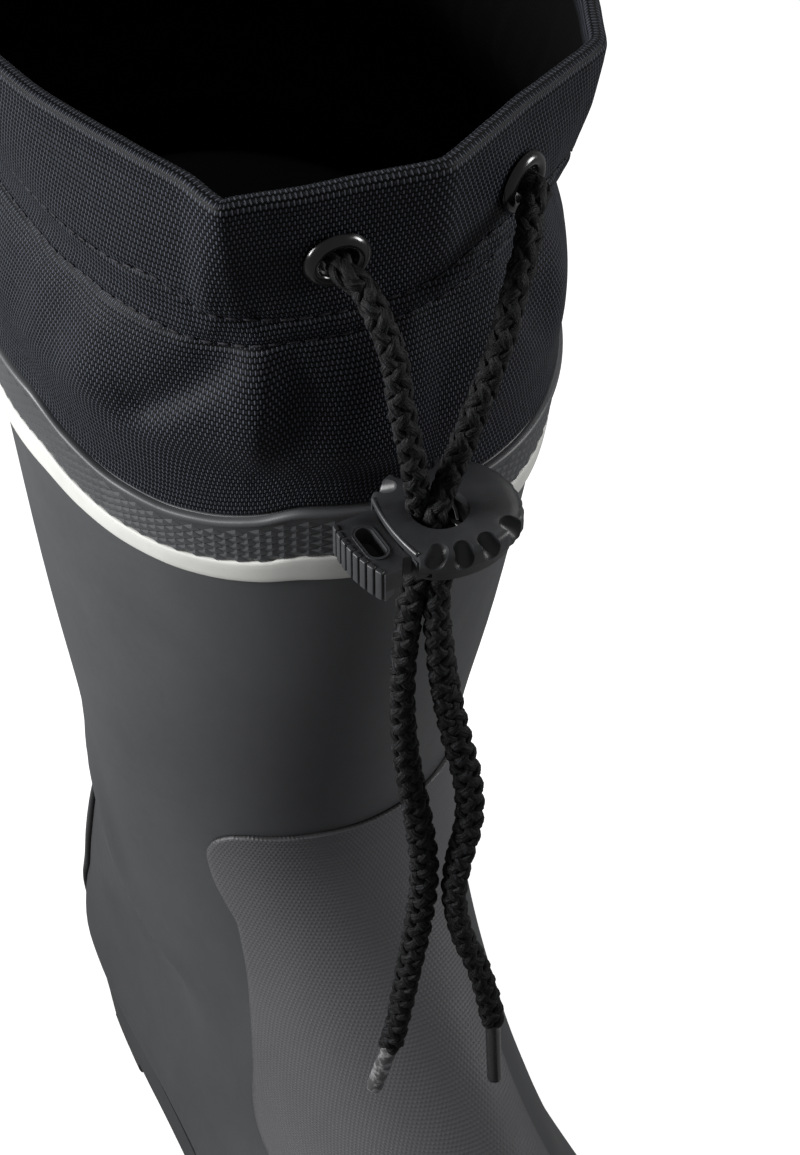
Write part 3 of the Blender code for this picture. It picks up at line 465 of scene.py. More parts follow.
def monotone(places, knots, values):
    """Monotone cubic through the knots, read at many places and level past its ends."""
    knots = np.asarray(knots, float)
    values = np.asarray(values, float)
    spans = np.diff(knots)
    slopes = np.diff(values) / spans
    product = slopes[:-1] * slopes[1:]
    total = np.where(product > 0, slopes[:-1] + slopes[1:], 1.0)
    inner = np.where(product > 0, 2.0 * product / total, 0.0)
    tangents = np.concatenate([slopes[:1], inner, slopes[-1:]])
    places = np.clip(places, knots[0], knots[-1])
    index = np.clip(np.searchsorted(knots, places, side="right") - 1, 0, len(spans) - 1)
    span = spans[index]
    t = (places - knots[index]) / span
    start = (1 + 2 * t) * (1 - t) ** 2 * values[index]
    end = t * t * (3 - 2 * t) * values[index + 1]
    lean = t * (1 - t) * span * ((1 - t) * tangents[index] - t * tangents[index + 1])
    return start + end + lean


def unit(vectors):
    return vectors / np.linalg.norm(vectors, axis=-1, keepdims=True)


def run_along(points):
    """Length of a line up to each of its points."""
    return np.concatenate([[0.0], np.cumsum(np.linalg.norm(np.diff(points, axis=0), axis=1))])


def turn_from_up(aim):
    """Rotation that takes the upward direction to another one."""
    return Vector(UP).rotation_difference(Vector(aim)).to_matrix()


def grid_faces(rows, columns, wrap_rows=False, wrap_columns=False):
    """Four-sided faces of a grid of points that is stored row by row."""
    row = np.arange(rows if wrap_rows else rows - 1)[:, None]
    column = np.arange(columns if wrap_columns else columns - 1)[None, :]
    next_row = (row + 1) % rows
    next_column = (column + 1) % columns
    corners = [row * columns + column, row * columns + next_column,
               next_row * columns + next_column, next_row * columns + column]
    return np.stack(np.broadcast_arrays(*corners), axis=-1).reshape(-1, 4)


def rod_faces(rings, sides):
    """Faces of rings that follow each other, with both ends closed."""
    faces = grid_faces(rings, sides, False, True).tolist()
    faces.append(list(range(sides - 1, -1, -1)))
    faces.append(list(range((rings - 1) * sides, rings * sides)))
    return faces


def grid_uv(across, along, wrap_rows=False):
    """Corner by corner map of a grid whose columns sit at across and rows at along."""
    rows = len(along) if wrap_rows else len(along) - 1
    columns = len(across) - 1
    row = np.arange(rows)[:, None]
    column = np.arange(columns)[None, :]
    along = np.append(along, along[-1] + (along[1] - along[0])) if wrap_rows else along
    pairs = []
    for i, j in ((0, 0), (0, 1), (1, 1), (1, 0)):
        u, v = np.broadcast_arrays(across[column + j], along[row + i])
        pairs.append(np.stack([u, v], axis=-1))
    return np.stack(pairs, axis=2).reshape(-1, 2)


def new_mesh(name, points, faces, uv=None):
    """Mesh from points in the shaft's frame, with a map in metres where one is given."""
    mesh = bpy.data.meshes.new(name)
    faces = faces.tolist() if isinstance(faces, np.ndarray) else faces
    mesh.from_pydata(metres(points).tolist(), [], faces)
    if uv is not None:
        layer = mesh.uv_layers.new(name="cloth")
        layer.data.foreach_set("uv", (np.asarray(uv) * MM).ravel())
    mesh.update()
    return mesh


def new_object(name, mesh):
    item = bpy.data.objects.new(name, mesh)
    bpy.context.scene.collection.objects.link(item)
    return item


def mesh_object(name, points, faces, uv=None):
    return new_object(name, new_mesh(name, points, faces, uv))


def mark_points(mesh, name, values):
    """Give every point of a mesh a number, or three."""
    values = np.asarray(values, float)
    kind, key = ("FLOAT", "value") if values.ndim == 1 else ("FLOAT_VECTOR", "vector")
    mesh.attributes.new(name, kind, "POINT").data.foreach_set(key, values.ravel())


def finish_piece(item, material, body="boot", nodes=(), sharp=None):
    """Shade a piece, give it its material and tie it to the frame."""
    mesh = item.data
    mesh.shade_smooth()
    if sharp is not None:
        mesh.set_sharp_from_angle(angle=math.radians(sharp))
    mesh.materials.clear()
    mesh.materials.append(material)
    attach(item, body)
    if nodes:
        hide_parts(*nodes)
    return item


def evaluated(item, name):
    """Plain mesh of an object with its modifiers worked out."""
    bpy.context.view_layer.update()
    graph = bpy.context.evaluated_depsgraph_get()
    mesh = bpy.data.meshes.new_from_object(item.evaluated_get(graph))
    mesh.name = name
    return mesh


def settle(item):
    """Work out an object's modifiers into its own mesh."""
    mesh = evaluated(item, item.name)
    item.modifiers.clear()
    item.data = mesh
    return item


def turn_outward(item):
    """Merge a mesh's doubles and point its faces outwards."""
    shape = bmesh.new()
    shape.from_mesh(item.data)
    bmesh.ops.remove_doubles(shape, verts=shape.verts, dist=DOUBLE_GAP)
    bmesh.ops.recalc_face_normals(shape, faces=shape.faces)
    shape.to_mesh(item.data)
    shape.free()
    return item


def lathe(profile, segments, closed):
    """Points and faces of a profile of radius and height turned about Z."""
    turn = np.linspace(0, 2 * math.pi, segments, endpoint=False)
    profile = np.asarray(profile, float)
    rings = np.stack([
        profile[:, :1] * np.cos(turn),
        profile[:, :1] * np.sin(turn),
        np.repeat(profile[:, 1:], segments, axis=1),
    ], axis=-1)
    if closed:
        faces = grid_faces(len(profile), segments, True, True).tolist()
    else:
        faces = rod_faces(len(profile), segments)
    return rings.reshape(-1, 3), faces


def joined(*shapes):
    """One list of points and faces out of several."""
    points = []
    faces = []
    for more_points, more_faces in shapes:
        start = sum(len(part) for part in points)
        points.append(np.asarray(more_points, float))
        faces += [[corner + start for corner in face] for face in more_faces]
    return np.concatenate(points), faces


def carve(item, tools):
    """Take tools from an object, or keep what they share, and drop the tools."""
    for tool, operation in tools:
        step = item.modifiers.new(tool.name, "BOOLEAN")
        step.operation = operation
        step.object = tool
        step.solver = "EXACT"
    settle(item)
    for tool, _ in tools:
        bpy.data.objects.remove(tool)
    return item


def round_edges(item, width, segments, angle):
    step = item.modifiers.new("soft_edge", "BEVEL")
    step.width = width * MM
    step.segments = segments
    step.limit_method = "ANGLE"
    step.angle_limit = math.radians(angle)
    step.harden_normals = False
    return settle(item)


def prism(outline, low, high):
    """Points and faces of an outline in X and Y between two heights."""
    points = [(*spot, level) for level in (low, high) for spot in outline]
    return np.array(points, float), rod_faces(2, len(outline))


def circle(radius, segments, centre=(0.0, 0.0)):
    turn = np.linspace(0, 2 * math.pi, segments, endpoint=False)
    return [(centre[0] + radius * math.cos(a), centre[1] + radius * math.sin(a)) for a in turn]


def rectangle(low, high):
    return [(low[0], low[1]), (high[0], low[1]), (high[0], high[1]), (low[0], high[1])]


def capsule(first, last, radius):
    """Points and faces of a rod with round ends between two places."""
    first = Vector(first)
    last = Vector(last)
    reach = (first - last).length / 2
    turns = np.linspace(0.0, math.pi, CAPSULE_RINGS)
    profile = [(radius * math.sin(a) + 1e-4, radius * math.cos(a) + math.copysign(reach, math.cos(a)))
               for a in turns]
    points, faces = lathe(profile[::-1], CAPSULE_SIDES, False)
    turn = np.array(turn_from_up(first - last))
    return points @ turn.T + np.array((first + last) / 2), faces


def tube(route, radius, sides, step=0.25):
    """Points and faces of a round rod along a route."""
    points, _ = smooth_route(route, step)
    _, first, second = carried_frames(points)
    ring = np.linspace(0, 2 * math.pi, sides, endpoint=False)
    rings = points[:, None] + radius * (first[:, None] * np.cos(ring)[None, :, None]
                                        + second[:, None] * np.sin(ring)[None, :, None])
    return rings.reshape(-1, 3), rod_faces(len(points), sides)


def stadium(centre, wide, long, steps=12):
    """Outline with round ends, long across the lock."""
    radius = wide / 2
    reach = long / 2 - radius
    outline = []
    for step in range(2 * steps):
        turn = math.pi * (step + 0.5) / steps
        end = reach if turn < math.pi else -reach
        outline.append((centre + radius * math.cos(turn), end + radius * math.sin(turn)))
    return outline


def lock_tool(name, shape):
    points, faces = shape
    return turn_outward(mesh_object(name, points + LOCK_PLACE, faces))


# Materials


def tree_node(tree, kind, inputs=None, **settings):
    """Node with its settings, and its inputs set or linked."""
    node = tree.nodes.new(kind)
    for key, value in settings.items():
        setattr(node, key, value)
    for key, value in (inputs or {}).items():
        if isinstance(value, bpy.types.NodeSocket):
            tree.links.new(value, node.inputs[key])
        else:
            node.inputs[key].default_value = value
    return node


class Recipe:
    """Node material that is put together step by step."""

    def __init__(self, name, colour, roughness, **sockets):
        self.material = bpy.data.materials.new(name)
        self.material.use_nodes = True
        self.tree = self.material.node_tree
        self.shader = self.tree.nodes["Principled BSDF"]
        self.shader.inputs["Base Color"].default_value = (*colour, 1.0)
        self.shader.inputs["Roughness"].default_value = roughness
        for socket, value in sockets.items():
            self.shader.inputs[socket.replace("_", " ")].default_value = value
        self.bump = None
        self.colour = None

    def add(self, kind, inputs=None, output=0, **settings):
        return tree_node(self.tree, "ShaderNode" + kind, inputs, **settings).outputs[output]

    def place(self, kind="Object"):
        return self.add("TexCoord", output=kind)

    def maths(self, operation, first, second=0.0):
        return self.add("Math", {0: first, 1: second}, operation=operation)

    def noise(self, scale, detail=3.0, roughness=0.5, stretch=None, place=None):
        place = place or self.place()
        if stretch is not None:
            place = self.add("Mapping", {"Vector": place, "Scale": stretch})
        return self.add("TexNoise", {"Vector": place, "Scale": scale, "Detail": detail,
                                     "Roughness": roughness})

    def spread(self, value, low, high, from_low=0.3, from_high=0.7):
        return self.add("MapRange", {"Value": value, "From Min": from_low, "From Max": from_high,
                                     "To Min": low, "To Max": high})

    def mix(self, share, first, second):
        return self.add("Mix", {0: share, 6: first, 7: second}, output=2, data_type="RGBA")

    def tint(self, share, first, second):
        """Colour that goes from one to the other with a share, given as linear triples."""
        self.colour = self.mix(share, (*first, 1.0), (*second, 1.0))
        self.feed("Base Color", self.colour)

    def painted_edge_shade(self, colour):
        """Paint shade into the colour in a thin line along a piece's edge, standing in for the shadow
        where it steps onto the rubber beneath.
        """
        edge = self.add("Attribute", output="Fac", attribute_name="edge_share")
        self.feed("Base Color", self.mix(edge, (*colour, 1.0), self.colour))

    def feed(self, socket, value):
        self.tree.links.new(value, self.shader.inputs[socket])

    def raise_by(self, height, distance, strength=1.0):
        """Bump of a height from 0 to 1 over a distance in millimetres."""
        inputs = {"Height": height, "Distance": distance * MM, "Strength": strength}
        if self.bump is not None:
            inputs["Normal"] = self.bump
        self.bump = self.add("Bump", inputs)
        self.feed("Normal", self.bump)


def scaled(colour, factor):
    return tuple(channel * factor for channel in colour)


def rubber(name, colour, roughness, mottle=0.10):
    """Satin rubber with a faint mottling, fine skin texture and a few dull scuffs."""
    recipe = Recipe(name, colour, roughness, Specular_IOR_Level=0.45)
    cloud = recipe.noise(38.0, 4.0, 0.55)
    fine = recipe.noise(420.0, 3.0)
    share = recipe.maths("ADD", recipe.maths("MULTIPLY", cloud, 0.7),
                         recipe.maths("MULTIPLY", fine, 0.3))
    recipe.tint(recipe.spread(share, 0.0, 1.0), scaled(colour, 1 - mottle),
                scaled(colour, 1 + mottle))
    scuff = recipe.noise(60.0, 6.0, 0.7, stretch=(1.0, 1.0, 0.35))
    recipe.feed("Roughness", recipe.spread(scuff, roughness - 0.05, roughness + 0.08))
    recipe.raise_by(recipe.noise(26.0, 2.0), 0.5, 0.35)
    recipe.raise_by(recipe.noise(1900.0, 2.0), 0.03, 0.5)
    return recipe


def nylon(name, colour, pitch, step):
    """Coarse plain weave whose upright yarns carry painted highlights as short bright dashes over
    painted shade in the gaps, with its lining painted dark as shade.
    """
    recipe = Recipe(name, colour, 0.5, Specular_IOR_Level=0.09)
    split = recipe.add("SeparateXYZ", {0: recipe.place("UV")}).node
    across = recipe.maths("DIVIDE", split.outputs[0], pitch)
    along = recipe.maths("DIVIDE", split.outputs[1], step)
    cells = recipe.maths("ADD", recipe.maths("FLOOR", across), recipe.maths("FLOOR", along))
    upright = recipe.maths("FLOORED_MODULO", cells, 2.0)
    level = recipe.maths("SUBTRACT", 1.0, upright)
    wide = recipe.maths("PINGPONG", across, 0.5)
    tall = recipe.maths("PINGPONG", along, 0.5)
    dash = recipe.maths("MULTIPLY", recipe.spread(wide, 0.0, 1.0, 0.10, 0.40),
                        recipe.spread(tall, 0.0, 1.0, 0.02, 0.24))
    bar = recipe.maths("MULTIPLY", recipe.spread(tall, 0.0, 1.0, 0.10, 0.40),
                       recipe.spread(wide, 0.3, 1.0, 0.02, 0.24))
    dash = recipe.maths("MULTIPLY", dash, upright)
    bar = recipe.maths("MULTIPLY", bar, level)
    uneven = recipe.spread(recipe.noise(700.0, 2.0), 0.7, 1.2)
    # Painted highlight: the tops of the upright yarns, and faintly the level ones, are lit up in the
    # colour itself
    painted_highlight = recipe.maths("ADD", recipe.maths("MULTIPLY", dash, uneven),
                         recipe.maths("MULTIPLY", bar, 0.16))
    # outer_face is 1 outside and falls to 0 down the lining, which takes the painted shade colour and a
    # rougher finish
    outer = recipe.add("Attribute", output="Fac", attribute_name="outer_face")
    # Colour runs from painted shade, 0.03 of the cloth's colour, in the gaps and on the lining, to
    # painted highlight, 12 times it, on the yarn tops
    recipe.tint(recipe.maths("MULTIPLY", painted_highlight, outer), scaled(colour, 0.03), scaled(colour, 12.0))
    recipe.feed("Roughness", recipe.spread(outer, 0.9, 0.5, 0.0, 1.0))
    recipe.raise_by(recipe.maths("ADD", dash, recipe.maths("MULTIPLY", bar, 0.6)), 0.14, 0.8)
    return recipe.material


def grained(name, colour, pitch):
    """Rubber with fine raised dots in level, staggered rows."""
    recipe = rubber(name, colour, roughness=0.50, mottle=0.07)
    split = recipe.add("SeparateXYZ", {0: recipe.place("UV")}).node
    across = recipe.maths("DIVIDE", split.outputs[0], pitch)
    along = recipe.maths("DIVIDE", split.outputs[1], pitch)
    odd = recipe.maths("FLOORED_MODULO", recipe.maths("FLOOR", along), 2.0)
    shifted = recipe.maths("ADD", across, recipe.maths("MULTIPLY", odd, 0.5))
    wide = recipe.spread(recipe.maths("PINGPONG", shifted, 0.5), 0.25, 1.0, 0.0, 0.5)
    tall = recipe.spread(recipe.maths("PINGPONG", along, 0.5), 0.0, 1.0, 0.0, 0.5)
    height = recipe.maths("MULTIPLY", wide, tall)
    recipe.raise_by(recipe.maths("POWER", height, 1.6), 0.15, 0.85)
    # Painted shade: a thin dark line along the panel's edge
    recipe.painted_edge_shade(scaled(colour, 0.15))
    return recipe.material


def braid_yarn(name, colour):
    """Filament yarn with fine fibres along each strand, whose bright streaks and specks are painted
    highlights over a darker ground.
    """
    recipe = Recipe(name, colour, 0.55, Specular_IOR_Level=0.13)
    fibre = recipe.noise(1.0, 4.0, 0.65, stretch=(2300.0, 420.0, 1.0), place=recipe.place("UV"))
    speck = recipe.noise(2600.0, 3.0, 0.6)
    # Painted highlights: bright fibre streaks and specks lift the colour up to nine times over a ground
    # a quarter as dark; the same noise also bumps the strands
    share = recipe.maths("MULTIPLY", recipe.spread(fibre, 0.0, 1.0, 0.42, 0.68),
                         recipe.spread(speck, 0.25, 1.4, 0.38, 0.66))
    recipe.tint(share, scaled(colour, 0.25), scaled(colour, 9.0))
    recipe.raise_by(fibre, 0.45, 1.0)
    recipe.raise_by(speck, 0.18, 0.6)
    return recipe.material


def satin_plastic(name, colour, roughness):
    """Moulded plastic with a fine spark texture."""
    recipe = Recipe(name, colour, roughness, Specular_IOR_Level=0.5)
    fine = recipe.noise(2600.0, 2.0)
    recipe.tint(recipe.spread(recipe.noise(240.0, 4.0), 0.0, 1.0), scaled(colour, 0.85),
                scaled(colour, 1.15))
    recipe.feed("Roughness", recipe.spread(recipe.noise(300.0, 3.0), roughness - 0.05,
                                           roughness + 0.07))
    recipe.raise_by(fine, 0.035, 0.6)
    return recipe.material


def glossy(name, colour, roughness, metallic):
    """Metal or hard plastic with a gloss and faint handling marks."""
    recipe = Recipe(name, colour, roughness, Metallic=metallic, Specular_IOR_Level=0.55,
                    Coat_Weight=0.6, Coat_Roughness=0.12)
    marks = recipe.noise(700.0, 5.0, 0.65)
    recipe.feed("Roughness", recipe.spread(marks, roughness - 0.04, roughness + 0.10))
    recipe.tint(recipe.spread(recipe.noise(260.0, 3.0), 0.0, 1.0), scaled(colour, 0.8),
                scaled(colour, 1.25))
    recipe.raise_by(recipe.noise(520.0, 3.0), 0.03, 0.4)
    return recipe.material


def foil(name):
    """Crumpled grey metal foil with dark spots."""
    colour = (0.42, 0.42, 0.43)
    recipe = Recipe(name, colour, 0.40, Metallic=0.6, Specular_IOR_Level=0.5)
    spots = recipe.spread(recipe.noise(520.0, 3.0, 0.6), 0.0, 1.0, 0.48, 0.62)
    recipe.tint(spots, scaled(colour, 0.35), scaled(colour, 1.15))
    recipe.raise_by(recipe.noise(330.0, 3.0), 0.35, 0.7)
    return recipe.material


def footbed_cloth(name):
    """Dark brushed lining of the footbed."""
    colour = (0.020, 0.021, 0.022)
    recipe = Recipe(name, colour, 0.9, Sheen_Weight=0.2, Sheen_Roughness=0.6)
    nap = recipe.noise(1400.0, 4.0, 0.6)
    recipe.tint(recipe.spread(nap, 0.0, 1.0), scaled(colour, 0.6), scaled(colour, 1.6))
    recipe.raise_by(nap, 0.3, 0.7)
    return recipe.material


# Geometry node trees


def new_tree(name, sizes):
    """Empty geometry tree and its start, where a geometry, its sizes and a finish go in."""
    tree = bpy.data.node_groups.new(name, "GeometryNodeTree")
    face = tree.interface
    face.new_socket("Geometry", in_out="INPUT", socket_type="NodeSocketGeometry")
    for size, default in sizes.items():
        socket = face.new_socket(size, in_out="INPUT", socket_type="NodeSocketFloat")
        socket.default_value = default
    face.new_socket("Finish", in_out="INPUT", socket_type="NodeSocketMaterial")
    face.new_socket("Geometry", in_out="OUTPUT", socket_type="NodeSocketGeometry")
    return tree, tree_node(tree, "NodeGroupInput").outputs


def size_vector(tree, *sizes):
    """Three numbers of a tree as one vector."""
    return tree_node(tree, "ShaderNodeCombineXYZ", dict(enumerate(sizes))).outputs[0]


def aligned(tree, axis, inputs, **settings):
    """Rotation that lays one axis along a vector."""
    node = tree_node(tree, "FunctionNodeAlignRotationToVector", inputs, axis=axis, **settings)
    return node.outputs[0]


def close_tree(tree, start, inputs):
    """Set copies on points, make them real, give them their finish and end the tree."""
    spread = tree_node(tree, "GeometryNodeInstanceOnPoints", inputs)
    real = tree_node(tree, "GeometryNodeRealizeInstances", {0: spread.outputs[0]})
    dressed = tree_node(tree, "GeometryNodeSetMaterial",
                        {"Geometry": real.outputs[0], "Material": start["Finish"]})
    tree_node(tree, "NodeGroupOutput", {0: dressed.outputs[0]})
    return tree


def points_tree():
    """Tree that sets a four-sided point upright on every corner of a mesh."""
    tree, start = new_tree("raised_points", {"Width": 0.004, "Length": 0.002, "Rise": 0.0006})
    cone = tree_node(tree, "GeometryNodeMeshCone",
                     {"Vertices": 4, "Radius Top": 0.16, "Radius Bottom": 0.5, "Depth": 1.0})
    normal = tree_node(tree, "GeometryNodeInputNormal")
    upright = aligned(tree, "Z", {"Vector": normal.outputs[0]})
    level = aligned(tree, "Y", {"Rotation": upright, "Vector": (0.0, 0.0, 1.0)}, pivot_axis="Z")
    size = size_vector(tree, start["Width"], start["Length"], start["Rise"])
    share = tree_node(tree, "GeometryNodeInputNamedAttribute", {"Name": "rise_share"},
                      data_type="FLOAT_VECTOR")
    sized = tree_node(tree, "ShaderNodeVectorMath", {0: size, 1: share.outputs[0]},
                      operation="MULTIPLY")
    return close_tree(tree, start, {"Points": start["Geometry"], "Instance": cone.outputs["Mesh"],
                                    "Rotation": level, "Scale": sized.outputs[0]})


def stitch_tree():
    """Tree that lays short stitches along a line of edges."""
    tree, start = new_tree("stitch_row", {"Pitch": 0.0034, "Length": 0.0027, "Thread": 0.0006})
    line = tree_node(tree, "GeometryNodeMeshToCurve", {"Mesh": start["Geometry"]})
    steps = tree_node(tree, "GeometryNodeResampleCurve",
                      {"Curve": line.outputs[0], "Length": start["Pitch"]}, mode="LENGTH")
    tangent = tree_node(tree, "GeometryNodeInputTangent")
    aim = aligned(tree, "X", {"Vector": tangent.outputs[0]})
    bead = tree_node(tree, "GeometryNodeMeshUVSphere", {"Segments": 8, "Rings": 6, "Radius": 0.5})
    size = size_vector(tree, start["Length"], start["Thread"], start["Thread"])
    return close_tree(tree, start, {"Points": steps.outputs[0], "Instance": bead.outputs["Mesh"],
                                    "Rotation": aim, "Scale": size})


def rib_tree():
    """Tree that stands an upright pad on every point of a mesh, turned by the point's own angle."""
    tree, start = new_tree("rib_row", {"Depth": 0.0011, "Width": 0.0016, "Rise": 0.007})
    size = size_vector(tree, start["Depth"], start["Width"], start["Rise"])
    pad = tree_node(tree, "GeometryNodeMeshCube", {"Size": size})
    turn = tree_node(tree, "GeometryNodeInputNamedAttribute", {"Name": "turn"}, data_type="FLOAT")
    angles = size_vector(tree, 0.0, 0.0, turn.outputs[0])
    facing = tree_node(tree, "FunctionNodeEulerToRotation", {0: angles})
    return close_tree(tree, start, {"Points": start["Geometry"], "Instance": pad.outputs["Mesh"],
                                    "Rotation": facing.outputs[0]})


def grown(name, tree, mesh, finish, **sizes):
    """Object whose mesh is what a tree makes of another mesh."""
    item = new_object(name, mesh)
    step = item.modifiers.new(tree.name, "NODES")
    step.node_group = tree
    wanted = {**sizes, "Finish": finish}
    for socket in tree.interface.items_tree:
        if socket.in_out == "INPUT" and socket.name in wanted:
            step[socket.identifier] = wanted[socket.name]
    return settle(item)


# Shaft and rubber overlays


def round_angle(points):
    """Angle round the shaft in degrees, 0 at the front and minus on the outer side."""
    return np.degrees(np.arctan2(points[..., 0], -points[..., 1]))


def edge_dip(angle):
    return monotone(angle, DIP_ANGLES, DIP_DEPTHS)


def dipped(points):
    """Points near the top of the shaft, lowered with its dipping edge."""
    share = smooth_step(points[..., 2], DIP_FOOT, SHAFT_TOP)
    moved = points.copy()
    moved[..., 2] -= edge_dip(round_angle(points)) * share
    return moved


def line_distance(points, line):
    """Distance of many points to a line of straight runs, and the share of the line passed there."""
    line = np.asarray(line, float)
    lengths = np.linalg.norm(np.diff(line, axis=0), axis=1)
    starts = np.concatenate([[0.0], np.cumsum(lengths)])
    best = np.full(len(points), np.inf)
    passed = np.zeros(len(points))
    for first, second, start, length in zip(line, line[1:], starts, lengths):
        run = second - first
        share = np.clip((points - first) @ run / (run @ run), 0.0, 1.0)
        away = np.linalg.norm(points - first - share[:, None] * run, axis=1)
        closer = away < best
        best = np.where(closer, away, best)
        passed = np.where(closer, start + share * length, passed)
    return best, passed / starts[-1]


def smooth_copy(node, name, levels, sharp):
    """Merged copy of a solid, subdivided with its hard edges kept."""
    shape = bmesh.new()
    shape.from_mesh(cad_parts[node].data)
    bmesh.ops.remove_doubles(shape, verts=shape.verts, dist=MERGE_GAP)
    bmesh.ops.join_triangles(shape, faces=shape.faces, angle_face_threshold=math.radians(40),
                             angle_shape_threshold=math.radians(60))
    crease = shape.edges.layers.float.new("crease_edge")
    for edge in shape.edges:
        if edge.calc_face_angle(math.pi) > math.radians(sharp):
            edge[crease] = 1.0
    mesh = bpy.data.meshes.new(name)
    shape.to_mesh(mesh)
    shape.free()
    item = new_object(name, mesh)
    step = item.modifiers.new("smooth", "SUBSURF")
    step.levels = levels
    step.render_levels = levels
    return settle(item)


def mesh_points(mesh):
    points = np.empty(len(mesh.vertices) * 3)
    mesh.vertices.foreach_get("co", points)
    return millimetres(points.reshape(-1, 3))


def set_points(mesh, points):
    mesh.vertices.foreach_set("co", metres(points).ravel())
    mesh.update()


def skin_tree():
    """Search tree of the finished shaft's surface, in millimetres."""
    mesh = bpy.data.objects["shaft_shell"].data
    points = [Vector(point) for point in mesh_points(mesh)]
    return BVHTree.FromPolygons(points, [tuple(face.vertices) for face in mesh.polygons])


def skin_spot(tree, start, aim):
    """First place on the shaft along a ray, tried a hair aside too so that no seam lets it through."""
    aside = aim.cross(Vector(UP)) * RAY_SHIFT
    hits = [tree.ray_cast(start + aside * step, aim) for step in (0, 1, -1)]
    found = [hit for hit in hits if hit[0] is not None]
    if not found:
        raise RuntimeError(f"no shaft along the ray from {tuple(start)}")
    return min(found, key=lambda hit: hit[3])[:2]


def spaced_edges(low, high, count):
    """Places from low to high, close together at both ends."""
    middle = np.linspace(low + EDGE_STEPS[-1], high - EDGE_STEPS[-1], count)
    return np.concatenate([low + EDGE_STEPS[:-1], middle, (high - EDGE_STEPS[:-1])[::-1]])


def overlay_skin(edges, heights, columns, behind, tree):
    """Places and directions on the shaft between two edges, and how far in from the nearer edge."""
    table = np.asarray(edges, float)
    lateral = monotone(heights, table[:, 0], table[:, 1])
    medial = monotone(heights, table[:, 0], table[:, 2])
    slope = np.hypot(1.0, np.gradient(lateral, heights))
    slope_in = np.hypot(1.0, np.gradient(medial, heights))
    side = 1.0 if behind else -1.0
    aim = Vector((0.0, -side, 0.0))
    hits = []
    rims = []
    for index, height in enumerate(heights):
        across = spaced_edges(lateral[index], medial[index], columns)
        hits.append([skin_spot(tree, Vector((place, side * RAY_START, height)), aim)
                     for place in across])
        rims.append(np.minimum((across - lateral[index]) / slope[index],
                               (medial[index] - across) / slope_in[index]))
    hits = np.array(hits, float)
    return hits[:, :, 0], unit(hits[:, :, 1]), np.array(rims)


def overlay(name, edges, heights, columns, behind, height_out, tree):
    """Rubber overlay between two edges, laid on the shaft with its rims rounded off."""
    skin, normal, rims = overlay_skin(edges, heights, columns, behind, tree)
    for _ in range(OVERLAY_SOFTENING):
        normal[1:-1, 1:-1] = unit(normal[:-2, 1:-1] + normal[2:, 1:-1] + normal[1:-1, :-2]
                                  + normal[1:-1, 2:] + normal[1:-1, 1:-1])
    along = run_along(skin[:, skin.shape[1] // 2])
    rim = np.minimum(rims, np.minimum(along, along[-1] - along)[:, None])
    share = np.clip(rim / OVERLAY_ROUND, 0.0, 1.0)
    rise = OVERLAY_SEAT + height_out * np.sqrt(1.0 - (1.0 - share) ** 2)
    top = skin + normal * rise[..., None]
    under = skin + normal * OVERLAY_SEAT
    shape = top.shape[:2]
    faces = grid_faces(*shape)
    number = np.arange(shape[0] * shape[1]).reshape(shape)
    beneath = number + number.size
    beneath[0] = number[0]
    beneath[-1] = number[-1]
    beneath[:, 0] = number[:, 0]
    beneath[:, -1] = number[:, -1]
    lower = beneath.ravel()[faces][:, ::-1]
    steps = np.linalg.norm(np.diff(skin, axis=1), axis=-1)
    across = np.concatenate([np.zeros((shape[0], 1)), np.cumsum(steps, axis=1)], axis=1)
    across -= across[:, shape[1] // 2, None]
    corner = np.stack([across, np.broadcast_to(along[:, None], shape)], axis=-1).reshape(-1, 2)
    uv = np.concatenate([corner[faces].reshape(-1, 2), corner[faces[:, ::-1]].reshape(-1, 2)])
    points = np.concatenate([top.reshape(-1, 3), under.reshape(-1, 3)])
    item = mesh_object(name, points, np.concatenate([faces, lower]), uv)
    # edge_share falls to 0 at the rim, where the colour is painted into shade
    inner = np.clip(rim / OVERLAY_LINE, 0.0, 1.0).ravel()
    mark_points(item.data, "edge_share", np.concatenate([inner, np.zeros(inner.size)]))
    return drop_loose(item)


def drop_loose(item):
    """Remove points that no face uses."""
    shape = bmesh.new()
    shape.from_mesh(item.data)
    bmesh.ops.delete(shape, geom=[v for v in shape.verts if not v.link_faces], context="VERTS")
    bmesh.ops.recalc_face_normals(shape, faces=shape.faces)
    shape.to_mesh(item.data)
    shape.free()
    return item


def shaft_ring(angle, height, outset, tree):
    """Point on the shaft at an angle and height, moved out from it."""
    turn = math.radians(angle)
    out = Vector((math.sin(turn), -math.cos(turn), 0.0))
    level = min(height, SHAFT_TOP - TOP_MARGIN - float(edge_dip(angle)))
    spot, _ = skin_spot(tree, out * RING_START + Vector((0, 0, level)), -out)
    spot.z = height
    return spot + out * outset


def dipped_ring(angles, height, outset, tree):
    """Points round the shaft at a height that dips with the shaft's edge."""
    heights = height - edge_dip(angles) * smooth_step(height, DIP_FOOT, SHAFT_TOP)
    return [shaft_ring(a, h, outset, tree) for a, h in zip(angles, heights)]


def band(name, span, foot, head, tree):
    """Ring that follows a profile of height and outset round the dipping top of the shaft."""
    low, high = span
    profile = [(low + rise, outset) for rise, outset in foot]
    profile += [(high + rise, outset) for rise, outset in head]
    angles = np.linspace(-180.0, 180.0, BAND_COLUMNS, endpoint=False)
    rows = [dipped_ring(angles, height, outset, tree) for height, outset in profile]
    points = np.array(rows, float).reshape(-1, 3)
    return turn_outward(mesh_object(name, points, grid_faces(len(rows), BAND_COLUMNS, True, True)))


# Cuff


def signed_power(value, power):
    return np.sign(value) * np.abs(value) ** power


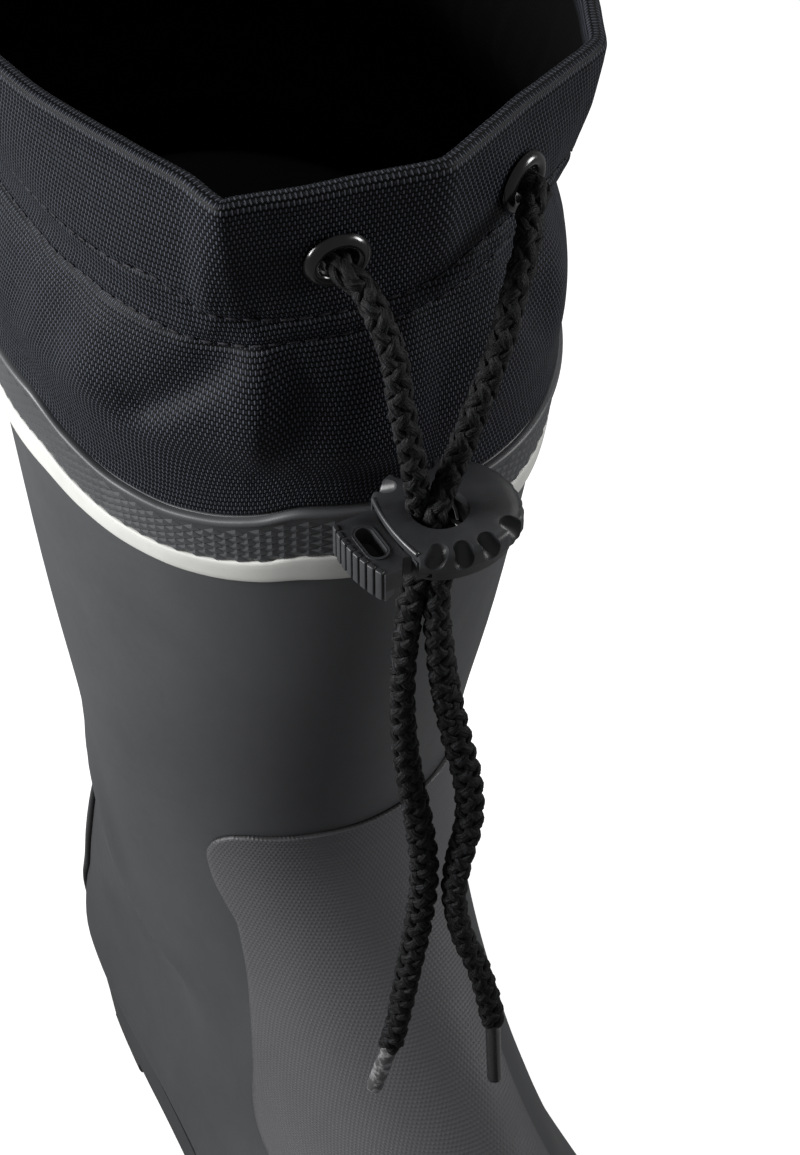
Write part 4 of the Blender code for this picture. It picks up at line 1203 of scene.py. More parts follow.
def cuff_skin(angle, height):
    """Points on the outside of the cuff before its folds."""
    angle, height = np.broadcast_arrays(np.asarray(angle, float), np.asarray(height, float))
    half_width, front, back, lateral, medial = (
        monotone(height, CUFF_ROWS[:, 0], column) for column in CUFF_ROWS[:, 1:].T)
    ahead = np.cos(angle) > 0
    square = np.where(np.sin(angle) > 0, medial, lateral)
    square = np.where(ahead, square, CUFF_BACK_SQUARE)
    across = half_width * signed_power(np.sin(angle), 2 / square)
    along = -np.where(ahead, front, back) * signed_power(np.cos(angle), 2 / square)
    turn = np.arctan2(across, -along)
    pull = monotone(np.degrees(turn), *CUFF_PULLS.T) * monotone(height, CUFF_PULL_RISE, (0.0, 1.0))
    return np.stack([across + np.sin(turn) * pull, along - np.cos(turn) * pull, height], axis=-1)


def cuff_frame(angle, height):
    """Point and outward direction on the cuff before its folds."""
    turn = 0.03
    rise = 1.0
    around = cuff_skin(angle + turn, height) - cuff_skin(angle - turn, height)
    upward = cuff_skin(angle, height + rise) - cuff_skin(angle, height - rise)
    return cuff_skin(angle, height), unit(np.cross(around, upward))


def eyelet_frame(side):
    """Matrix with Z out of the cuff at an eyelet, its angle found by halving."""
    low = 0.0
    high = math.pi / 2
    for _ in range(40):
        middle = (low + high) / 2
        if side * cuff_skin(side * middle, EYELET_HEIGHTS[side])[0] < EYELET_SPREADS[side]:
            low = middle
        else:
            high = middle
    spot, out = cuff_frame(side * low, EYELET_HEIGHTS[side])
    return Matrix.Translation(Vector(spot)) @ turn_from_up(out).to_4x4()


def even_angles(count):
    """Angles that share out the cuff's round evenly, and the run of each."""
    fine = np.linspace(-math.pi, math.pi, 6001)
    run = run_along(cuff_skin(fine, GIRTH_HEIGHT))
    goals = np.linspace(0.0, run[-1], count + 1)
    return np.interp(goals, run, fine), goals


def fold_height(run, height, path, left, right):
    """Height of one fold, strongest on its line and softer on either side."""
    nearest = np.full(run.shape, np.inf)
    reach = np.ones(run.shape)
    depth = np.zeros(run.shape)
    for (x0, z0, d0), (x1, z1, d1) in zip(path, path[1:]):
        dx = x1 - x0
        dz = z1 - z0
        share = np.clip(((run - x0) * dx + (height - z0) * dz) / (dx * dx + dz * dz), 0.0, 1.0)
        off_x = run - x0 - share * dx
        off_z = height - z0 - share * dz
        away = np.hypot(off_x, off_z)
        closer = away < nearest
        nearest = np.where(closer, away, nearest)
        reach = np.where(closer, np.where(dx * off_z - dz * off_x > 0, right, left), reach)
        depth = np.where(closer, d0 + (d1 - d0) * share, depth)
    return depth * np.exp(-(nearest / reach) ** 2)


def stitch_height(angle, row):
    table = np.asarray(row, float)
    return monotone(angle, table[:, 0], table[:, 1])


def swell(height, level, sizes):
    """Soft ridge of a rise and half width about a level."""
    rise, reach = sizes
    return rise * np.exp(-((height - level) / reach) ** 2)


def cuff_relief(angle, run, height, run_of):
    """Folds, gathers and stitch grooves of the cuff, as a height along its outward direction."""
    upper = stitch_height(angle, UPPER_STITCH)
    lower = stitch_height(angle, LOWER_STITCH)
    relief = np.zeros(run.shape)
    for path, left, right in FOLDS:
        line = [(run_of(place), level, depth) for place, level, depth in path]
        relief += fold_height(run, height, line, left, right)
    wave = sum(share * np.sin(run / length + start) for length, start, share in GATHER_WAVES)
    below = np.exp(-np.clip(lower - height, 0, None) / GATHER_BELOW)
    above = np.exp(-np.clip(height - upper, 0, None) / GATHER_ABOVE)
    gather = monotone(angle, GATHER_ANGLES, GATHER_SHARES)
    relief += GATHER_RISE * gather * wave * below * above
    relief -= swell(height, upper, UPPER_GROOVE)
    relief -= swell(height, lower, LOWER_GROOVE)
    relief += swell(height, (upper + lower) / 2, TUNNEL_SWELL)
    return relief


def build_cuff(tree):
    """Grid of the cuff from its tuck inside the shaft, over the rim and back down inside."""
    angles, runs = even_angles(CUFF_COLUMNS)
    angles = angles[:-1]
    around = round_angle(cuff_skin(angles, GIRTH_HEIGHT))
    out = np.stack([np.sin(np.radians(around)), -np.cos(np.radians(around)),
                    np.zeros(len(around))], axis=-1)
    top = SHAFT_TOP - edge_dip(around)
    inset = np.array([np.linalg.norm(np.array(shaft_ring(a, t - CUFF_SEAT, 0.0, tree))[:2])
                      for a, t in zip(around, top)])

    def ring(outset, rise):
        spot = out * (inset + outset)[:, None]
        spot[:, 2] = top + rise
        return spot

    start = ring(*START_RING)
    shares = np.linspace(0.0, 1.0, CUFF_STEPS)
    heights = start[None, :, 2] + (RIM_HEIGHT - start[None, :, 2]) * shares[:, None]
    blend = smooth_step(heights, start[None, :, 2], CUFF_BLEND_TOP)[..., None]
    base = cuff_skin(angles[None, :], np.maximum(heights, CUFF_ROWS[0, 0]))
    base = start[None] * (1 - blend) + base * blend
    base[..., 2] = heights
    closed = np.concatenate([base[:, -1:], base, base[:, :1]], axis=1)
    across = closed[:, 2:] - closed[:, :-2]
    upward = np.gradient(base, axis=0)
    normal = unit(np.cross(across, upward))

    def run_of(angle):
        return np.interp(angle, around, runs[:-1])

    run = np.broadcast_to(runs[None, :-1], heights.shape)
    turned = np.broadcast_to(around[None], heights.shape)
    relief = cuff_relief(turned, run, heights, run_of)
    for side in SIDES:
        centre = np.array(eyelet_frame(side).translation)
        away = np.linalg.norm(base - centre, axis=-1)
        relief *= 1.0 - np.exp(-(away / EYELET_CALM) ** 4)
    relief *= smooth_step(shares, 0.0, RELIEF_START)[:, None]
    outside = base + normal * relief[..., None]
    wall = CUFF_WALL + (2 * HEM_RADIUS - CUFF_WALL) * smooth_step(heights, *HEM_RISE)
    inside = (outside - normal * wall[..., None])[::-LINING_STRIDE]
    centre = outside[-1] - normal[-1] * HEM_RADIUS
    bends = np.radians(np.linspace(0, 180, HEM_BENDS)[1:-1])
    rim = [centre + HEM_RADIUS * (normal[-1] * math.cos(b) + UP * math.sin(b)) for b in bends]
    tuck = [ring(*place) for place in TUCK_RINGS]
    lining = [ring(*place) for place in LINING_RINGS]
    rows = np.concatenate([np.array(tuck), outside, np.array(rim), inside, np.array(lining)])
    faces = grid_faces(len(rows), CUFF_COLUMNS, True, True)
    uv = grid_uv(runs, run_along(rows[:, CUFF_COLUMNS // 3]), wrap_rows=True)
    # outer is 1 on the tuck, outside and rim and fades to 0 down the lining, where the nylon's colour
    # is painted into shade
    hidden = np.arange(len(inside) + len(lining))
    outer = np.concatenate([np.ones(len(tuck) + len(shares) + len(rim)),
                            np.clip(1.0 - hidden / LINING_FADE_ROWS, 0.0, 1.0)])
    return rows, faces, uv, np.repeat(outer, CUFF_COLUMNS), rows[len(tuck):len(tuck) + len(shares)]


# Cords


def smooth_route(points, step):
    """Points at equal steps along a smooth curve through the route's own points."""
    points = np.asarray(points, float)
    ends = np.concatenate([[2 * points[0] - points[1]], points, [2 * points[-1] - points[-2]]])
    shares = np.linspace(0.0, 1.0, ROUTE_STEPS, endpoint=False)[:, None]
    fine = []
    for a, b, c, d in zip(ends, ends[1:], ends[2:], ends[3:]):
        line = 2 * b + (c - a) * shares + (2 * a - 5 * b + 4 * c - d) * shares ** 2
        fine.append((line + (3 * b - a - 3 * c + d) * shares ** 3) / 2)
    fine = np.concatenate([*fine, points[-1:]])
    run = run_along(fine)
    count = max(2, int(round(run[-1] / step)) + 1)
    goals = np.linspace(0.0, run[-1], count)
    return np.stack([np.interp(goals, run, fine[:, axis]) for axis in range(3)], axis=-1), goals


def cord_route(side):
    """Route of one cord end, out of its eyelet, through the lock and down to its tip."""
    place = eyelet_frame(side)
    hole = LOCK_PLACE + np.array([side * CORD_PITCH / 2, 0.0, 0.0])
    half = np.array([0.0, 0.0, LOCK_HEIGHT / 2])
    start = [np.array(place @ Vector((0, 0, level))) for level in (-CORD_INSIDE, CORD_OUT)]
    shift = np.array([*CORD_SQUEEZE[side], 0.0])
    inside = [hole + half * level + shift * share
              for level, share in zip((1, 0, -1), SQUEEZE_SHARES)]
    return [*start, *CORD_DROPS[side], *inside, *CORD_TAILS[side]]


def carried_frames(points):
    """Directions along a route and two across it that turn as little as possible."""
    along = unit(np.gradient(points, axis=0))
    first = np.cross(along[0], (0.0, 1.0, 0.0))
    frames = [unit(first)]
    for direction in along[1:]:
        side = frames[-1] - direction * (frames[-1] @ direction)
        frames.append(unit(side))
    first = np.array(frames)
    return along, first, np.cross(along, first)


def strand_shape(points, first, second, angle, lift, wide, deep):
    """Rings of one strand that goes round the cord and over and under the others."""
    radius = STRAND_RADIUS + lift * STRAND_LIFT
    line = (points + first * (np.cos(angle) * radius * wide)[:, None]
            + second * (np.sin(angle) * radius * deep)[:, None])
    tangent = unit(np.gradient(line, axis=0))
    outward = unit(line - points)
    outward = unit(outward - tangent * (outward * tangent).sum(axis=1, keepdims=True))
    across = np.cross(tangent, outward)
    size = np.sqrt(wide * deep)[:, None]
    ring = np.linspace(0, 2 * math.pi, STRAND_SIDES, endpoint=False)
    aside = (STRAND_HALF_WIDTH * size * np.cos(ring))[..., None]
    above = (STRAND_HALF_DEPTH * size * np.sin(ring))[..., None]
    return line[:, None] + across[:, None] * aside + outward[:, None] * above


def share_past(heights, level, span):
    """How far heights have come through a span about a level."""
    return smooth_step(heights, level + span[0], level + span[1])


def cord_girth(side, heights, goals, width):
    """Half widths of a cord end along its route, over those of a full braid, and its slow twist."""
    top = LOCK_PLACE[2] + LOCK_HEIGHT
    foot = LOCK_PLACE[2] - LOCK_HEIGHT
    free = 1.0 - share_past(heights, foot, FREE_FOOT)
    tight = share_past(heights, foot, TIGHT_FOOT) * (1 - share_past(heights, top, TIGHT_TOP))
    tight = np.maximum(tight, 1 - smooth_step(goals, *TIGHT_START))
    size = (CORD_SHARE + FREE_GAIN * free - TIGHT_LOSS * tight) * width / BRAID_WIDTH
    flat = CORD_FLATNESS * free * smooth_step(goals[-1] - goals, 0.0, CORD_ROUND_END)
    twist = goals / CORD_TWIST_RUN + CORD_TWIST_START[side]
    return size * (1 + flat), size * (1 - flat), twist


def braid(side, sizes):
    """Points, faces, map, route and length of one braided cord end."""
    points, goals = smooth_route(cord_route(side), BRAID_STEP)
    _, first, second = carried_frames(points)
    wide, deep, twist = cord_girth(side, points[:, 2], goals, sizes.cord_width / MM)
    spun = (np.cos(twist)[:, None] * first + np.sin(twist)[:, None] * second,
            np.cos(twist)[:, None] * second - np.sin(twist)[:, None] * first)
    turns = goals * 2 * math.pi / (sizes.braid_lay / MM)
    lift = np.cos(STRANDS * turns)
    across = np.linspace(0.0, STRAND_ROUND, STRAND_SIDES + 1)
    shapes = []
    maps = []
    for hand in (1, -1):
        for strand in range(STRANDS):
            angle = strand * 2 * math.pi / STRANDS + hand * turns
            rings = strand_shape(points, *spun, angle, hand * lift, wide, deep)
            shapes.append((rings.reshape(-1, 3), rod_faces(len(rings), STRAND_SIDES)))
            start = STRAND_MAP_STEP * (strand + STRANDS * (hand > 0))
            caps = np.tile([[start, 0.0]], (2 * STRAND_SIDES, 1))
            maps.append(np.concatenate([grid_uv(across + start, goals), caps]))
    return *joined(*shapes), np.concatenate(maps), points, goals[-1]


# Operators


class BOOT_OT_stage(bpy.types.Operator):
    """Add the camera, the soft studio light and the pale floor"""

    bl_idname = "deck_boot.stage"
    bl_label = "Stage"

    def execute(self, context):
        scene = context.scene
        right = Vector((math.cos(CAMERA_AZIMUTH), math.sin(CAMERA_AZIMUTH), 0.0))
        back = Vector((math.sin(CAMERA_AZIMUTH) * math.cos(CAMERA_ELEVATION),
                       -math.cos(CAMERA_AZIMUTH) * math.cos(CAMERA_ELEVATION),
                       math.sin(CAMERA_ELEVATION)))
        self.add_camera(scene, right, back)
        self.add_lights(scene, right, Vector((back.x, back.y, 0.0)).normalized())
        self.add_floor()
        return {"FINISHED"}

    def add_camera(self, scene, right, back):
        camera = bpy.data.objects.new("camera", bpy.data.cameras.new("camera"))
        camera.data.lens = CAMERA_LENS
        camera.data.sensor_width = CAMERA_SENSOR
        turn = Matrix((right, back.cross(right), back)).transposed()
        place = Vector(metres(CAMERA_PLACE))
        camera.matrix_world = Matrix.Translation(place) @ turn.to_4x4()
        scene.collection.objects.link(camera)
        scene.camera = camera
        scene.view_settings.view_transform = "Standard"

    def add_lights(self, scene, right, near):
        """Soft boxes about the boot, and a plain white world."""
        for name, (aside, ahead, rise), aim_height, size, spread, power in LIGHTS:
            data = bpy.data.lights.new(name, "AREA")
            data.shape = "RECTANGLE"
            data.size, data.size_y = size
            data.spread = math.radians(spread)
            data.energy = power
            light = bpy.data.objects.new(name, data)
            aim = Vector(metres((0.0, LIGHT_AIM, aim_height)))
            spot = Vector(metres((0.0, LIGHT_AIM, 0.0))) + right * aside + near * ahead
            spot.z = rise
            light.matrix_world = (Matrix.Translation(spot)
                                  @ (spot - aim).to_track_quat("Z", "Y").to_matrix().to_4x4())
            scene.collection.objects.link(light)
        world = bpy.data.worlds.new("studio")
        world.use_nodes = True
        background = world.node_tree.nodes["Background"]
        background.inputs["Color"].default_value = (1.0, 1.0, 1.0, 1.0)
        background.inputs["Strength"].default_value = WORLD_STRENGTH
        scene.world = world

    def add_floor(self):
        floor = new_object("floor", self.sweep_mesh())
        recipe = Recipe("pale_floor", (0.8, 0.8, 0.8), 0.9, Specular_IOR_Level=0.0,
                        Emission_Strength=FLOOR_GLOW)
        recipe.shader.inputs["Emission Color"].default_value = (1.0, 1.0, 1.0, 1.0)
        grain = recipe.noise(3.0, 2.0)
        recipe.tint(recipe.spread(grain, 0.0, 1.0), (0.78, 0.78, 0.78), (0.82, 0.82, 0.82))
        recipe.material.cycles.emission_sampling = "NONE"
        floor.data.materials.append(recipe.material)
        floor.visible_diffuse = False
        floor.visible_glossy = False

    def sweep_mesh(self):
        """Wide pale floor that curves up into a backdrop far from the boot."""
        profile = [(0.001, 0.0)]
        for bend in np.radians(np.linspace(0.0, 90.0, 16)):
            profile.append((FLOOR_REACH + FLOOR_BEND * math.sin(bend),
                            FLOOR_BEND - FLOOR_BEND * math.cos(bend)))
        profile.append((FLOOR_REACH + FLOOR_BEND, FLOOR_TOP))
        turn = np.linspace(0, 2 * math.pi, FLOOR_SIDES, endpoint=False)
        points = [(r * math.cos(a), r * math.sin(a), z) for r, z in profile for a in turn]
        mesh = bpy.data.meshes.new("floor")
        mesh.from_pydata(points, [], grid_faces(len(profile), len(turn), False, True).tolist())
        mesh.shade_smooth()
        return mesh


class BOOT_OT_drawcords(bpy.types.Operator):
    """Braid the two ends of the drawcord and put their tips on"""

    bl_idname = "deck_boot.drawcords"
    bl_label = "Drawcords"

    def execute(self, context):
        sizes = context.scene.boot_sizes
        yarn = braid_yarn("braided_yarn", tuple(context.scene.boot_colours.cord))
        sleeve = glossy("black_sleeve", (0.008, 0.008, 0.009), roughness=0.22, metallic=0.0)
        finishes = {-1: foil("grey_foil"), 1: sleeve}
        for side, word in SIDES.items():
            points, faces, uv, path, length = braid(side, sizes)
            item = turn_outward(mesh_object("braid_" + word, points, faces, uv))
            finish_piece(item, yarn, nodes=["drawcord_" + word])
            tip = self.make_tip(side, path[-1], "tip_sleeve_" + word)
            finish_piece(tip, finishes[side], nodes=["cord_tip_" + word], sharp=40)
            metres(path[0])
            metres(path)
        return {"FINISHED"}

    def make_tip(self, side, end, name):
        """Sleeve pressed over the end of a cord."""
        aim = Vector(TIP_AIMS[side]).normalized()
        points, faces = lathe(TIP_PROFILES[side], TIP_SIDES, False)
        if side < 0:
            turn = np.arctan2(points[:, 1], points[:, 0])
            crumple = sum(depth * np.sin(points[:, 2] * rate + lobes * turn + start)
                          for depth, rate, lobes, start in FOIL_WAVES)
            points[:, :2] *= (1 + crumple * smooth_step(points[:, 2], 0.0, FOIL_START))[:, None]
            points *= np.array(FOIL_SQUEEZE)
        placed = points @ np.array(turn_from_up(aim)).T + end + np.array(aim) * TIP_GAP
        return turn_outward(mesh_object(name, placed, faces))


class BOOT_OT_cord_lock(bpy.types.Operator):
    """Make the lock's body, its push button and the button's ribs"""

    bl_idname = "deck_boot.cord_lock"
    bl_label = "Cord lock"

    def execute(self, context):
        colour = tuple(context.scene.boot_colours.plastic)
        plastic = satin_plastic("lock_plastic", colour, roughness=0.40)
        lighter = satin_plastic("button_plastic", scaled(colour, 1.1), roughness=0.45)
        finish_piece(self.make_body(), plastic, nodes=["lock_body"], sharp=35)
        finish_piece(self.make_bead(), plastic)
        finish_piece(self.make_button(), lighter, body="button",
                     nodes=["lock_plunger"], sharp=35)
        finish_piece(self.make_ribs(lighter), lighter, body="button", sharp=35)
        steel = glossy("spring_steel", (0.9, 0.9, 0.91), roughness=0.34, metallic=0.9)
        spring = lock_tool("spring_wire", tube(SPRING_WIRE, SPRING_RADIUS, SPRING_SIDES))
        finish_piece(spring, steel)
        return {"FINISHED"}

    def flattened(self, points):
        """Points of the round body with its front drawn in."""
        start, share = LOCK_FLAT
        drawn = np.array(points, float)
        past = np.maximum(-drawn[:, 1] - start, 0.0)
        drawn[:, 1] += past * (1.0 - share)
        return drawn

    def make_body(self):
        points, faces = lathe(LOCK_PROFILE, LOCK_SEGMENTS, False)
        turn = np.arctan2(points[:, 1], points[:, 0])
        reach = np.hypot(points[:, 0], points[:, 1])
        count, depth = LOCK_TEETH
        toothed = smooth_step(np.cos(turn), *TEETH_FACING) * smooth_step(reach, *TEETH_REACH)
        teeth = depth * toothed * (0.5 - 0.5 * np.cos(turn * count))
        points[:, :2] *= (1 - teeth / np.maximum(reach, 1.0))[:, None]
        points[:, 0] += LOCK_OFFSET
        item = lock_tool("lock_shell", (self.flattened(points), faces))
        lip = circle(LOCK_LIP_RADIUS, LOCK_SEGMENTS, (LOCK_LIP_RADIUS - LOCK_LIP, 0.0))
        hole = circle(LOCK_HOLE, HOLE_SIDES)
        low = BUTTON_FOOT - SLIDE_GAP
        high = BUTTON_TOP + SLIDE_GAP
        wide = -BUTTON_SIDES[0] + SLIDE_GAP
        mouth = BUTTON_SHOULDER + BUTTON_TRAVEL + SLIDE_GAP
        tongue = TONGUE[1] + BUTTON_TRAVEL + SLIDE_GAP
        narrow = TONGUE[0] + SLIDE_GAP
        mouth_outline = rectangle((MOUTH_REACH, -wide), (mouth, wide))
        tongue_outline = rectangle((0, -narrow), (tongue, narrow))
        carve(item, [
            (lock_tool("lip_cut", prism(lip, -CUT_DEPTH, CUT_DEPTH)), "INTERSECT"),
            (lock_tool("hole_cut", prism(hole, -CUT_DEPTH, CUT_DEPTH)), "DIFFERENCE"),
            (lock_tool("mouth_cut", prism(mouth_outline, low, high)), "DIFFERENCE"),
            (lock_tool("tongue_cut", prism(tongue_outline, low, high)), "DIFFERENCE"),
            (lock_tool("scoop_cut", self.scoops()), "DIFFERENCE"),
        ])
        return round_edges(item, width=0.35, segments=3, angle=38)

    def scoops(self):
        """Finger scoops that run over the rim on both sides of the lock."""
        shapes = []
        for angle, heights in SCOOPS:
            for side in (1, -1):
                turn = side * math.radians(angle)
                ends = np.array([(LOCK_OFFSET + reach * math.cos(turn), reach * math.sin(turn), height)
                                 for reach, height in zip(SCOOP_REACH, heights)])
                shapes.append(capsule(*self.flattened(ends), SCOOP_RADIUS))
        return joined(*shapes)

    def make_bead(self):
        """Rounded bead along the lip over the button."""
        radius, half = LOCK_BEAD
        centre = LOCK_LIP_RADIUS - LOCK_LIP
        inset, drop = BEAD_SEAT
        level = LOCK_HEIGHT / 2 - radius - drop
        route = [(centre - math.sqrt(LOCK_LIP_RADIUS ** 2 - y * y) + inset, y, level)
                 for y in np.linspace(-half, half, BEAD_STEPS)]
        return lock_tool("lock_lip_bead", tube(route, radius, BEAD_SIDES))

    def make_button(self):
        low, high = BUTTON_SIDES
        plate = prism(rectangle((-BUTTON_REACH, low), (BUTTON_SHOULDER, high)), BUTTON_FOOT, BUTTON_TOP)
        item = lock_tool("lock_button", plate)
        tongue = rectangle((0, -TONGUE[0]), (TONGUE[1], TONGUE[0]))
        hand = CORD_PITCH / 2 + CORD_SOLID / 2 + SLIDE_GAP
        slot = rectangle((-hand - BUTTON_TRAVEL, -CORD_SLOT), (hand, CORD_SLOT))
        end = circle(BUTTON_ARC_RADIUS, BUTTON_END_SIDES, BUTTON_ARC)
        wide, long = BUTTON_SLOT
        rim, rise = BUTTON_SLOT_RIM
        collar = stadium(BUTTON_SLOT_PLACE, wide + 2 * rim, long + 2 * rim)
        oval = stadium(BUTTON_SLOT_PLACE, wide, long)
        notch = [(x, low + y) for x, y in BUTTON_NOTCH]
        carve(item, [
            (lock_tool("head_add", prism(self.end_band(), HEAD_FOOT, BUTTON_TOP)), "UNION"),
            (lock_tool("tongue_add", prism(tongue, BUTTON_FOOT, BUTTON_TOP)), "UNION"),
            (lock_tool("collar_add", prism(collar, 0.0, BUTTON_TOP + rise)), "UNION"),
            (lock_tool("end_cut", prism(end, -CUT_DEPTH, CUT_DEPTH)), "INTERSECT"),
            (lock_tool("cord_slot_cut", prism(slot, -CUT_DEPTH, CUT_DEPTH)), "DIFFERENCE"),
            (lock_tool("oval_cut", prism(oval, BUTTON_SLOT_FLOOR, CUT_DEPTH)), "DIFFERENCE"),
            (lock_tool("notch_cut", prism(notch, -CUT_DEPTH, CUT_DEPTH)), "DIFFERENCE"),
        ])
        return round_edges(item, width=0.28, segments=3, angle=38)

    def arc_spot(self, turn, radius):
        return (BUTTON_ARC[0] - radius * math.cos(turn), BUTTON_ARC[1] - radius * math.sin(turn))

    def arc_turns(self, inset):
        """Angles on the end's arc at the button's two sides."""
        low, high = BUTTON_SIDES
        return (math.asin((BUTTON_ARC[1] - high + inset) / BUTTON_ARC_RADIUS),
                math.asin((BUTTON_ARC[1] - low - inset) / BUTTON_ARC_RADIUS))

    def end_band(self):
        """Outline of the head behind the button's curved end."""
        turns = np.linspace(*self.arc_turns(0.0), BUTTON_END_STEPS)
        outer = [self.arc_spot(turn, BUTTON_ARC_RADIUS) for turn in turns]
        inner = [self.arc_spot(turn, BUTTON_ARC_RADIUS - HEAD_THICK) for turn in turns[::-1]]
        return outer + inner

    def make_ribs(self, finish):
        """Upright pads on the button's curved end."""
        depth, width, rise = RIB_SIZE
        turns = np.linspace(*self.arc_turns(RIB_MARGIN + width / 2), RIB_COUNT)
        middle = BUTTON_TOP + RIB_LIFT - rise / 2
        points = [(*self.arc_spot(turn, BUTTON_ARC_RADIUS - RIB_SEAT), middle) for turn in turns]
        mesh = new_mesh("button_ribs", np.array(points) + LOCK_PLACE, [])
        mark_points(mesh, "turn", turns)
        item = grown("button_ribs", rib_tree(), mesh, finish, Depth=depth * MM, Width=width * MM,
                     Rise=rise * MM)
        return round_edges(item, width=0.22, segments=3, angle=50)


class BOOT_OT_shaft(bpy.types.Operator):
    """Smooth the rubber shaft and press its soft creases in"""

    bl_idname = "deck_boot.shaft"
    bl_label = "Shaft"

    def execute(self, context):
        item = smooth_copy("upper", "shaft_shell", levels=2, sharp=42)
        mesh = item.data
        points = mesh_points(mesh)
        normals = np.empty(len(mesh.vertices) * 3)
        mesh.vertex_normals.foreach_get("vector", normals)
        normals = normals.reshape(-1, 3)
        outward = np.where(normals[:, :1] * points[:, :1] > 0, normals, -normals)
        moved = points.copy()
        for line, rise, reach, fade in CREASES:
            away, passed = line_distance(points, line)
            strength = smooth_step(passed, 0.0, fade) * smooth_step(1.0 - passed, 0.0, fade)
            moved += outward * (rise * strength * np.exp(-(away / reach) ** 2))[:, None]
        set_points(mesh, dipped(moved))
        recipe = rubber("shaft_rubber", tuple(context.scene.boot_colours.shaft), roughness=0.46)
        finish_piece(item, recipe.material, nodes=["upper"], sharp=50)
        return {"FINISHED"}


class BOOT_OT_overlays(bpy.types.Operator):
    """Lay the grained instep panel and the heel strip on the rubber"""

    bl_idname = "deck_boot.overlays"
    bl_label = "Instep panel and heel strip"

    def execute(self, context):
        tree = skin_tree()
        colours = context.scene.boot_colours
        pitch = context.scene.boot_sizes.grain_pitch
        heights = self.even_heights(PANEL_EDGES[0][0], PANEL_EDGES[-1][0], tree)
        panel = overlay("shin_panel", PANEL_EDGES, heights, PANEL_COLUMNS, False, PANEL_RISE, tree)
        finish_piece(panel, grained("grained_rubber", tuple(colours.panel), pitch),
                     nodes=["instep_panel"])
        heights = spaced_edges(STRIP_EDGES[0][0], STRIP_EDGES[-1][0], STRIP_ROWS)
        strip = overlay("heel_patch", STRIP_EDGES, heights, STRIP_COLUMNS, True, STRIP_RISE, tree)
        recipe = rubber("heel_rubber", scaled(tuple(colours.shaft), 1.1), roughness=0.48)
        # Painted shade: a thin dark line along the strip's edge
        recipe.painted_edge_shade(scaled(tuple(colours.shaft), 0.15))
        finish_piece(strip, recipe.material, nodes=["heel_strip"])
        return {"FINISHED"}

    def even_heights(self, low, high, tree):
        """Heights that share out the panel's middle line evenly, closer at its top."""
        fine = np.linspace(low, high, PANEL_PROBES)
        line = np.array([tree.ray_cast((0.0, -RAY_START, z), (0.0, 1.0, 0.0))[0] for z in fine])
        run = run_along(line)
        goals = spaced_edges(0.0, run[-1], PANEL_ROWS)
        top = np.linspace(run[-1] - PANEL_TOP, run[-1], PANEL_TOP_ROWS)
        return np.unique(np.round(np.interp(np.union1d(goals, top), run, fine), 4))


class BOOT_OT_bands(bpy.types.Operator):
    """Make the pale stripe and the textured band round the top of the shaft"""

    bl_idname = "deck_boot.bands"
    bl_label = "Stripe and textured band"

    def execute(self, context):
        tree = skin_tree()
        sizes = context.scene.boot_sizes
        colours = context.scene.boot_colours
        stripe = band("pale_stripe", STRIPE, STRIPE_FOOT, STRIPE_HEAD, tree)
        recipe = Recipe("stripe_rubber", tuple(colours.stripe), 0.5, Specular_IOR_Level=0.4)
        dirt = recipe.spread(recipe.noise(90.0, 5.0, 0.6), 0.0, 1.0, 0.45, 0.75)
        recipe.tint(dirt, tuple(colours.stripe), scaled(tuple(colours.stripe), 0.9))
        recipe.raise_by(recipe.noise(1200.0, 2.0), 0.03, 0.4)
        finish_piece(stripe, recipe.material, nodes=["stripe_band"], sharp=60)

        base = band("knurl_base", KNURL, KNURL_FOOT, KNURL_HEAD, tree)
        recipe = rubber("knurled_rubber", tuple(colours.shaft), roughness=0.44)
        finish_piece(base, recipe.material, nodes=["knurled_band"], sharp=60)
        points = self.make_points(sizes, recipe.material, tree)
        finish_piece(points, recipe.material, sharp=20)
        return {"FINISHED"}

    def make_points(self, sizes, finish, tree):
        """Staggered rows of low points on the textured band."""
        low, high = KNURL
        row_step = sizes.knurl_row / MM
        rows = int((high - low - KNURL_MARGIN) / row_step)
        count = int(round(KNURL_ROUND / (sizes.knurl_width / MM)))
        places = []
        shares = []
        for row in range(rows):
            angles = (np.arange(count) + 0.5 * (row % 2)) * 360.0 / count - 180.0
            places += dipped_ring(angles, low + KNURL_START + row * row_step, KNURL_OUTSET, tree)
            away = (angles - KNURL_WEAR_ANGLE) / KNURL_WEAR_REACH
            shares += [(1.0, 1.0, value) for value in 1 - KNURL_WEAR * np.exp(-away ** 2)]
        mesh = new_mesh("knurl_points", np.array(places), grid_faces(rows, count, False, True))
        mark_points(mesh, "rise_share", shares)
        return grown("knurl_points", points_tree(), mesh, finish,
                     Width=sizes.knurl_width * KNURL_FILL,
                     Length=sizes.knurl_row * 2 * KNURL_FILL, Rise=sizes.knurl_rise)


